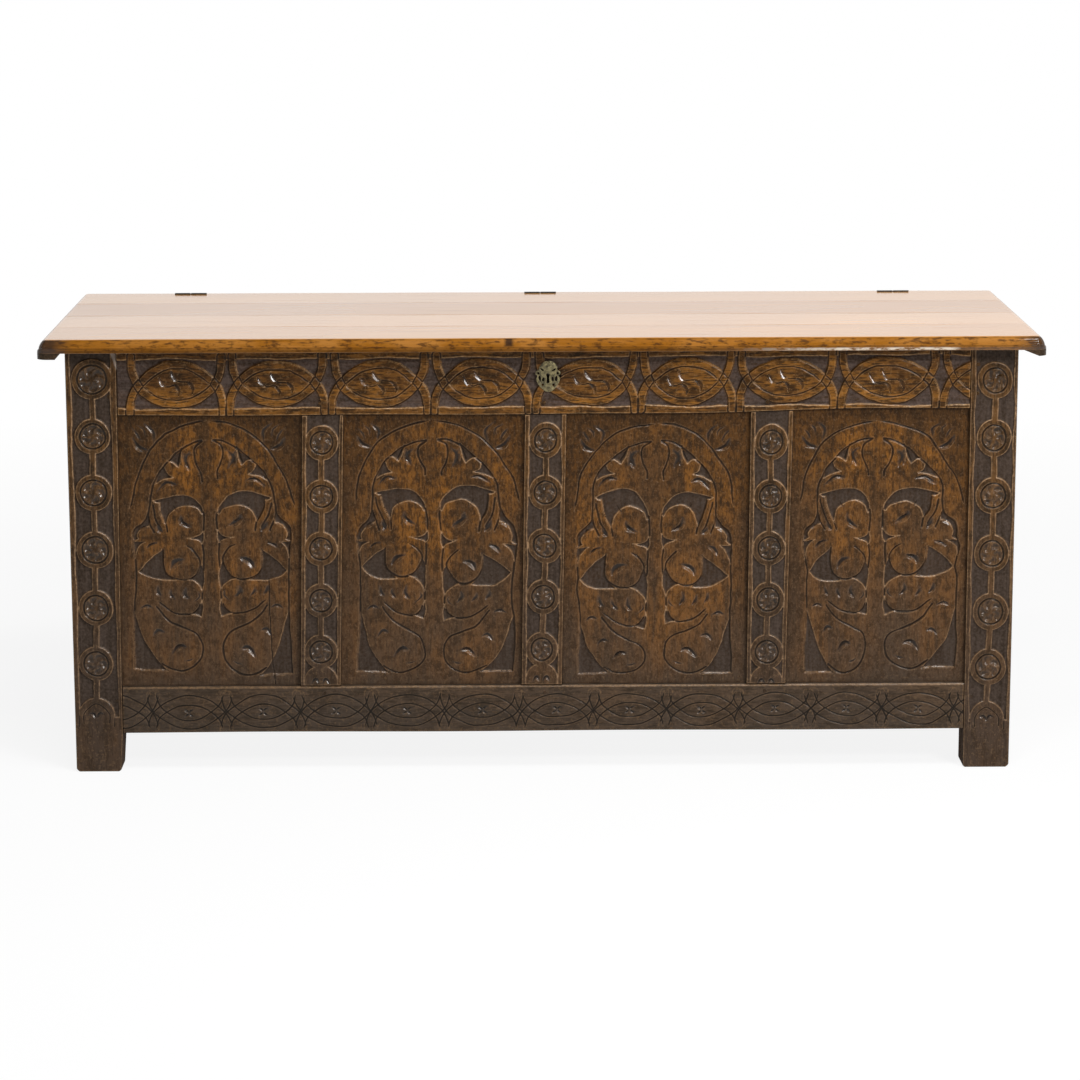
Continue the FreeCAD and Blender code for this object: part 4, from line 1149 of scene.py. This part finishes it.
# the pierced plate, cut from sheet brass, with holes filed through it
keyPlate = {
    "middle": (8.8, 641.0), "proud": 0.6, "thick": 0.7, "round": 0.25,
    "outline": [(0, 22.6), (-5.7, 21.2), (-10.8, 16.4), (-13.6, 12.2), (-14.0, 9.0), (-18.8, 5.6),
                (-19.4, 2.2), (-16.4, -1.4), (-18.3, -5.4), (-17.4, -9.8), (-14.6, -15.2), (-9.9, -20.6),
                (-5.7, -24.2), (-0.3, -26.2), (4.6, -25.6), (9.9, -21.8), (15.0, -15.4), (18.0, -9.2),
                (18.6, -4.8), (16.4, -0.8), (19.4, 2.4), (18.6, 5.8), (14.0, 9.0), (14.2, 12.8), (11.7, 17.0),
                (8.2, 20.8), (4.2, 22.4)],
    # across, up, half width, half height, turn
    "holes": [(-15.2, 3.2, 2.3, 2.3, 0), (15.3, 3.2, 2.3, 2.3, 0), (-9.3, 8.8, 4.0, 1.6, -0.68),
              (9.4, 8.4, 4.0, 1.6, 0.55), (-12.9, -4.9, 2.2, 4.7, 0.15), (13.0, -5.3, 2.3, 4.7, -0.1),
              (-7.5, -6.8, 2.2, 3.6, -0.15), (7.4, -6.2, 2.2, 4.2, 0.12), (-8.2, -15.2, 2.1, 2.3, 0),
              (8.7, -15.4, 2.1, 2.7, 0.3)],
    "keyhole": (3.1, 0.2), "slot": [(2.0, -5), (2.6, -12.6), (-2.6, -12.6), (-2.0, -5)],
    "beads": [(-4.6, 17.2, 2.6), (3.4, 17.8, 3.0), (0.2, 11.8, 3.2), (-8.6, 13.6, 1.8), (9.2, 13.6, 2.2),
              (6.2, -21.4, 2.4)],
}


def cutPlate(spec):
    outlines = [smoothPath(spec["outline"] + spec["outline"][:1], 3)[:-1]]
    for x, z, wide, high, turn in spec["holes"]:
        angles = np.linspace(0, 2 * math.pi, 12, endpoint=False)
        ringX, ringZ = wide * np.cos(angles), high * np.sin(angles)
        outlines.append(np.column_stack([x + ringX * math.cos(turn) - ringZ * math.sin(turn),
                                         z + ringX * math.sin(turn) + ringZ * math.cos(turn)]))
    radius, up = spec["keyhole"]
    keyhole = [(radius * math.sin(a), up + radius * math.cos(a)) for a in np.linspace(-2.4, 2.4, 11)]
    outlines.append(np.array(keyhole + spec["slot"]))
    curve = bpy.data.curves.new("plateOutline", "CURVE")
    curve.dimensions, curve.fill_mode, curve.bevel_resolution = "2D", "BOTH", 1
    curve.extrude, curve.bevel_depth = (spec["thick"] / 2) * mm, spec["round"] * mm
    for points in outlines:
        spline = curve.splines.new("POLY")
        spline.points.add(len(points) - 1)
        for point, (x, z) in zip(spline.points, points):
            point.co = (x * mm, z * mm, 0, 1)
        spline.use_cyclic_u = True
    holder = bpy.data.objects.new("plateOutline", curve)
    bpy.context.scene.collection.objects.link(holder)
    bpy.context.view_layer.update()
    mesh = bpy.data.meshes.new_from_object(holder.evaluated_get(bpy.context.evaluated_depsgraph_get()))
    bpy.data.objects.remove(holder)
    bpy.data.curves.remove(curve)
    bm = bmesh.new()
    bm.from_mesh(mesh)
    bpy.data.meshes.remove(mesh)
    bmesh.ops.remove_doubles(bm, verts=bm.verts, dist=0.002 * mm)
    bmesh.ops.recalc_face_normals(bm, faces=bm.faces)
    return bm


bm = cutPlate(keyPlate)
for x, z, radius in keyPlate["beads"]:
    bead = bmesh.ops.create_uvsphere(bm, u_segments=12, v_segments=6, radius=radius * mm)["verts"]
    bmesh.ops.scale(bm, vec=(1, 1, 0.32), verts=bead)
    bmesh.ops.translate(bm, vec=(x * mm, z * mm, 0.5 * mm), verts=bead)
# the sheet was cut flat, so stand it up against the rail
bmesh.ops.rotate(bm, cent=(0, 0, 0), matrix=Matrix.Rotation(math.pi / 2, 3, "X"), verts=bm.verts)
plateX, plateZ = keyPlate["middle"]
bmesh.ops.translate(bm, vec=(plateX * mm, (face - keyPlate["proud"]) * mm, plateZ * mm), verts=bm.verts)
plate = finishMesh(bm, "carcass", "keyhole_plate", brass, smooth=True)
plate.data.set_sharp_from_angle(angle=math.radians(50))


# the lid and the plain timbers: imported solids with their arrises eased

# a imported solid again, its triangles joined into flat faces
def copyOf(node):
    source = cadNodes[node]
    bm = bmesh.new()
    bm.from_mesh(source.data)
    bm.transform(source.matrix_world)
    bmesh.ops.remove_doubles(bm, verts=bm.verts, dist=0.02 * mm)
    bmesh.ops.dissolve_limit(bm, angle_limit=math.radians(0.5), verts=bm.verts, edges=bm.edges)
    bmesh.ops.recalc_face_normals(bm, faces=bm.faces)
    return bm


def soften(bm, size, degrees=40):
    sharp = [e for e in bm.edges if len(e.link_faces) == 2 and e.calc_face_angle() > math.radians(degrees)]
    bmesh.ops.bevel(bm, geom=sharp, offset=size * mm, segments=2, profile=0.5, affect="EDGES", material=-1,
                    clamp_overlap=True)


def finishTimber(bm, body, node, material):
    piece = finishMesh(bm, body, node, material, smooth=True)
    piece.data.set_sharp_from_angle(angle=math.radians(50))
    piece.modifiers.new("flatShading", "WEIGHTED_NORMAL").keep_sharp = True


def cutAcross(bm, axis, places):
    for place in places:
        at, way = [0, 0, 0], [0, 0, 0]
        at[axis], way[axis] = place * mm, 1
        bmesh.ops.bisect_plane(bm, geom=bm.verts[:] + bm.edges[:] + bm.faces[:], dist=1e-6, plane_co=at,
                               plane_no=way)


lid = {
    "corner": 17.0,      # radius of the worn front corners
    "rearCorner": 13.0,
    "roll": 15.0,        # the ends are rubbed over to this radius
    "arris": 0.7,
    "sag": 0.5,          # gentle wander of the long edges
    "slice": 40.0,       # spacing of the cuts that let the boards wander
    "fine": 2.2,         # and of those near the corners and ends
    "joint": 1.2,        # width of the dark line at each joint
    "tones": {"lid_board_1": 0.45, "lid_board_2": 0.95, "lid_board_3": 0.05, "lid_board_4": 0.8},
}
boardSpans = [cadSpan(name) for name in lid["tones"]]
lidLow = np.min([low for low, high in boardSpans], 0)
lidHigh = np.max([high for low, high in boardSpans], 0)


# corners of the lid, rounded in plan
def wornCorner(x, y):
    overX = abs(x) - lidHigh[0]
    for radius, overY, edge, sense in ((lid["corner"], lidLow[1] - y, lidLow[1], 1),
                                       (lid["rearCorner"], y - lidHigh[1], lidHigh[1], -1)):
        awayX, awayY = overX + radius, overY + radius
        if awayX > 0 and awayY > 0:
            pull = max(awayX, awayY) / math.hypot(awayX, awayY)
            inward = radius - awayX * pull
            return math.copysign(lidHigh[0] - inward, x), edge + sense * (radius - awayY * pull)
    return x, y


for index, (name, tone) in enumerate(lid["tones"].items()):
    bm = copyOf(name)
    low, high = boardSpans[index]
    first, last = index == 0, index == len(boardSpans) - 1
    soften(bm, lid["arris"], 25)
    near = [lidLow[0] + k * lid["fine"] for k in range(8)]
    cutAcross(bm, 0, near + [lidHigh[0] - (x - lidLow[0]) for x in near])
    cutAcross(bm, 0, np.arange(lidLow[0] + 30, lidHigh[0] - 20, lid["slice"]))
    cutAcross(bm, 1, [low[1] + 1.5, low[1] + 3.5, high[1] - 3.5, high[1] - 1.5])
    if first or last:
        edge, sense = (lidLow[1], 1) if first else (lidHigh[1], -1)
        cutAcross(bm, 1, [edge + sense * k * lid["fine"] for k in range(1, 8)])
    boardTone, seam, rim = (bm.verts.layers.float.new(label) for label in ("board", "seam", "rim"))
    for v in bm.verts:
        x, y, z = v.co / mm
        v[rim] = 1.0 if z < lidHigh[2] - 0.6 else 0.0
        past = abs(x) - (lidHigh[0] - lid["roll"])
        if past > 0:
            fall = lid["roll"] - math.sqrt(max(lid["roll"] ** 2 - past ** 2, 0))
            z = lidLow[2] + (z - lidLow[2]) * (1 - fall / (lidHigh[2] - lidLow[2]))
        x, y = wornCorner(x, y)
        # the top has settled a little and its edges wander, always inwards
        wave = 0.5 + 0.5 * math.sin(x / 137.0 + index) * math.cos(x / 61.0)
        if z > lidHigh[2] - 1:
            z -= lid["sag"] * wave * 0.6 + 0.15
        if y < lidLow[1] + 18:
            y += lid["sag"] * wave
        v.co = Vector((x, y, z)) * mm
        v[boardTone] = tone
        joints = [abs(y - place) for place, real in ((low[1], not first), (high[1], not last)) if real]
        v[seam] = 1.0 if min(joints) < lid["joint"] else 0.0
    finishTimber(bm, "lid", name, lidOak)


def easedTimber(node, body, material, soft=0.8, worn=False):
    bm = copyOf(node)
    soften(bm, soft)
    if worn:
        fine = lid["fine"]
        cutAcross(bm, 0, [side * (lidHigh[0] - k * fine) for k in range(1, 8) for side in (-1, 1)])
        cutAcross(bm, 1, [lidLow[1] + k * fine for k in range(1, 8)])
        cutAcross(bm, 1, [lidHigh[1] - k * fine for k in range(1, 7)])
        for v in bm.verts:
            x, y, z = v.co / mm
            v.co = Vector((*wornCorner(x, y), z)) * mm
    finishTimber(bm, body, node, material)


for side in ("left", "right"):
    for part, wood in (("top_rail", sideRail), ("bottom_rail", sideRail), ("muntin_1", sideUpright)):
        easedTimber(f"{side}_{part}", "carcass", wood)
    for n in (1, 2):
        easedTimber(f"{side}_panel_{n}", "carcass", sideUpright, 0.5)
    easedTimber(f"rear_{side}_stile", "carcass", backUpright, 1.5)
    easedTimber(f"{side}_cleat", "lid", cleatOak, 1.5, worn=True)
for part in ("top_rail", "bottom_rail"):
    easedTimber(f"rear_{part}", "carcass", backRail)
for n in (1, 2, 3):
    easedTimber(f"rear_muntin_{n}", "carcass", backUpright)
for n in (1, 2, 3, 4):
    easedTimber(f"rear_panel_{n}", "carcass", backUpright, 0.5)
for n in range(1, 7):
    easedTimber(f"floor_board_{n}", "carcass", floorOak, 1.0)

# pegs: cut off with the carving where they stand on sunk ground
pegs = {"cutBack": 3.2, "beyond": 678}
bm = copyOf("frame_pegs")
for v in bm.verts:
    if v.co.y < (face + 0.1) * mm and abs(v.co.x) > pegs["beyond"] * mm:
        v.co.y += pegs["cutBack"] * mm
finishMesh(bm, "carcass", "frame_pegs", frontUpright)

ironwork = ("rail_hinge_loops", "lid_hinge_loops", "lock_case", "lock_bolt", "lock_nails", "lid_staple",
            "staple_nails", "floor_nails", "cleat_nails")
for names, metal in ((ironwork, iron), (("keyhole_plate", "keyhole_plate_pins"), brass)):
    for name in names:
        for slot in cadNodes[name].material_slots:
            slot.material = metal
print("coffer: lid, plain timbers and ironwork dressed")


# floor, light and camera

scene = bpy.context.scene
scene.view_settings.view_transform = "Standard"

stage = {
    "floorSize": 160.0, "floorColour": (0.84, 0.84, 0.84), "white": 0.88, "worldLight": 0.26,
    "backdropAway": 9.0, "backdropHigh": 7.0, "bend": 1.5,
    # place, aim, size and power of each lamp
    "lamps": {
        "keyLight": ((2.1, -3.2, 2.3), (0.0, -0.2, 0.4), (1.1, 0.5), 94),
        "topLight": ((0.7, -1.6, 3.3), (0.1, -0.2, 0.45), (2.6, 0.35), 88),
        "fillLight": ((-3.0, -3.2, 1.4), (0.0, 0.0, 0.4), (2.0, 2.0), 6),
    },
    "camera": {"place": (-0.0611, -5.6384, 1.4499), "right": (0.99993599, -0.01104248, -0.00246656),
               "forward": (0.01034599, 0.98059549, -0.19576885), "lens": 115.05},
}


# pale paper that looks white to the camera and in the wax, and keeps a faint shadow near the chest
def paintPaper(name):
    paint = Paint(name)
    paint.set(Base_Color=stage["floorColour"], Roughness=0.9, Specular_IOR_Level=0.0)
    rays = paint.node("ShaderNodeLightPath")
    camera, glossy, through = (paint.value(rays.outputs[f"Is {kind} Ray"])
                               for kind in ("Camera", "Glossy", "Transmission"))
    length = paint.node("ShaderNodeVectorMath", {"operation": "LENGTH"}, i0=paint.place)
    away = paint.value(length.outputs["Value"]).step(1.2, 3.5)
    white = paint.node("ShaderNodeEmission", Strength=1.0)
    share = (camera + glossy + through).clamp() * (stage["white"] + (1 - stage["white"]) * away)
    blend = paint.node("ShaderNodeMixShader", i0=share, i1=paint.shader.outputs[0], i2=white.outputs[0])
    paint.tree.links.new(blend.outputs[0], paint.output.inputs[0])
    return paint.material


bm = bmesh.new()
half, bend, away = stage["floorSize"] / 2, stage["bend"], stage["backdropAway"]
profile = [bm.verts.new((-half, y, 0)) for y in (-half, away - bend)]
profile += bmesh.ops.spin(bm, geom=[profile[-1]], cent=(0, away - bend, bend), axis=(1, 0, 0),
                          angle=math.pi / 2, steps=8)["geom_last"]
top = bm.verts.new((-half, away, stage["backdropHigh"]))
bm.edges.new(profile[:2])
bm.edges.new((profile[-1], top))
swept = bmesh.ops.extrude_edge_only(bm, edges=list(bm.edges))["geom"]
edge = [v for v in swept if isinstance(v, bmesh.types.BMVert)]
bmesh.ops.translate(bm, vec=(stage["floorSize"], 0, 0), verts=edge)
bmesh.ops.recalc_face_normals(bm, faces=bm.faces)
floorMesh = bpy.data.meshes.new("paperSweep")
bm.to_mesh(floorMesh)
bm.free()
floorMesh.materials.append(paintPaper("paper"))
floorPiece = bpy.data.objects.new("paperSweep", floorMesh)
scene.collection.objects.link(floorPiece)

world = bpy.data.worlds.new("studio")
scene.world = world
world.use_nodes = True
background = world.node_tree.nodes["Background"].inputs
background["Color"].default_value = (1, 1, 1, 1)
background["Strength"].default_value = stage["worldLight"]

for name, (place, aim, size, power) in stage["lamps"].items():
    light = bpy.data.lights.new(name, "AREA")
    light.shape = "RECTANGLE"
    light.size, light.size_y = size
    light.energy = power
    lamp = bpy.data.objects.new(name, light)
    lamp.location = place
    lamp.rotation_euler = (Vector(aim) - Vector(place)).to_track_quat("-Z", "Y").to_euler()
    scene.collection.objects.link(lamp)

view = stage["camera"]
camera = bpy.data.cameras.new("camera")
camera.sensor_width, camera.lens, camera.clip_end = 36, view["lens"], 100
cameraPiece = bpy.data.objects.new("camera", camera)
rightWay, forward = Vector(view["right"]).normalized(), Vector(view["forward"]).normalized()
turn = Matrix((rightWay, rightWay.cross(forward).normalized(), -forward)).transposed().to_4x4()
cameraPiece.matrix_world = Matrix.Translation(view["place"]) @ turn
scene.collection.objects.link(cameraPiece)
scene.camera = cameraPiece

print("coffer: done")
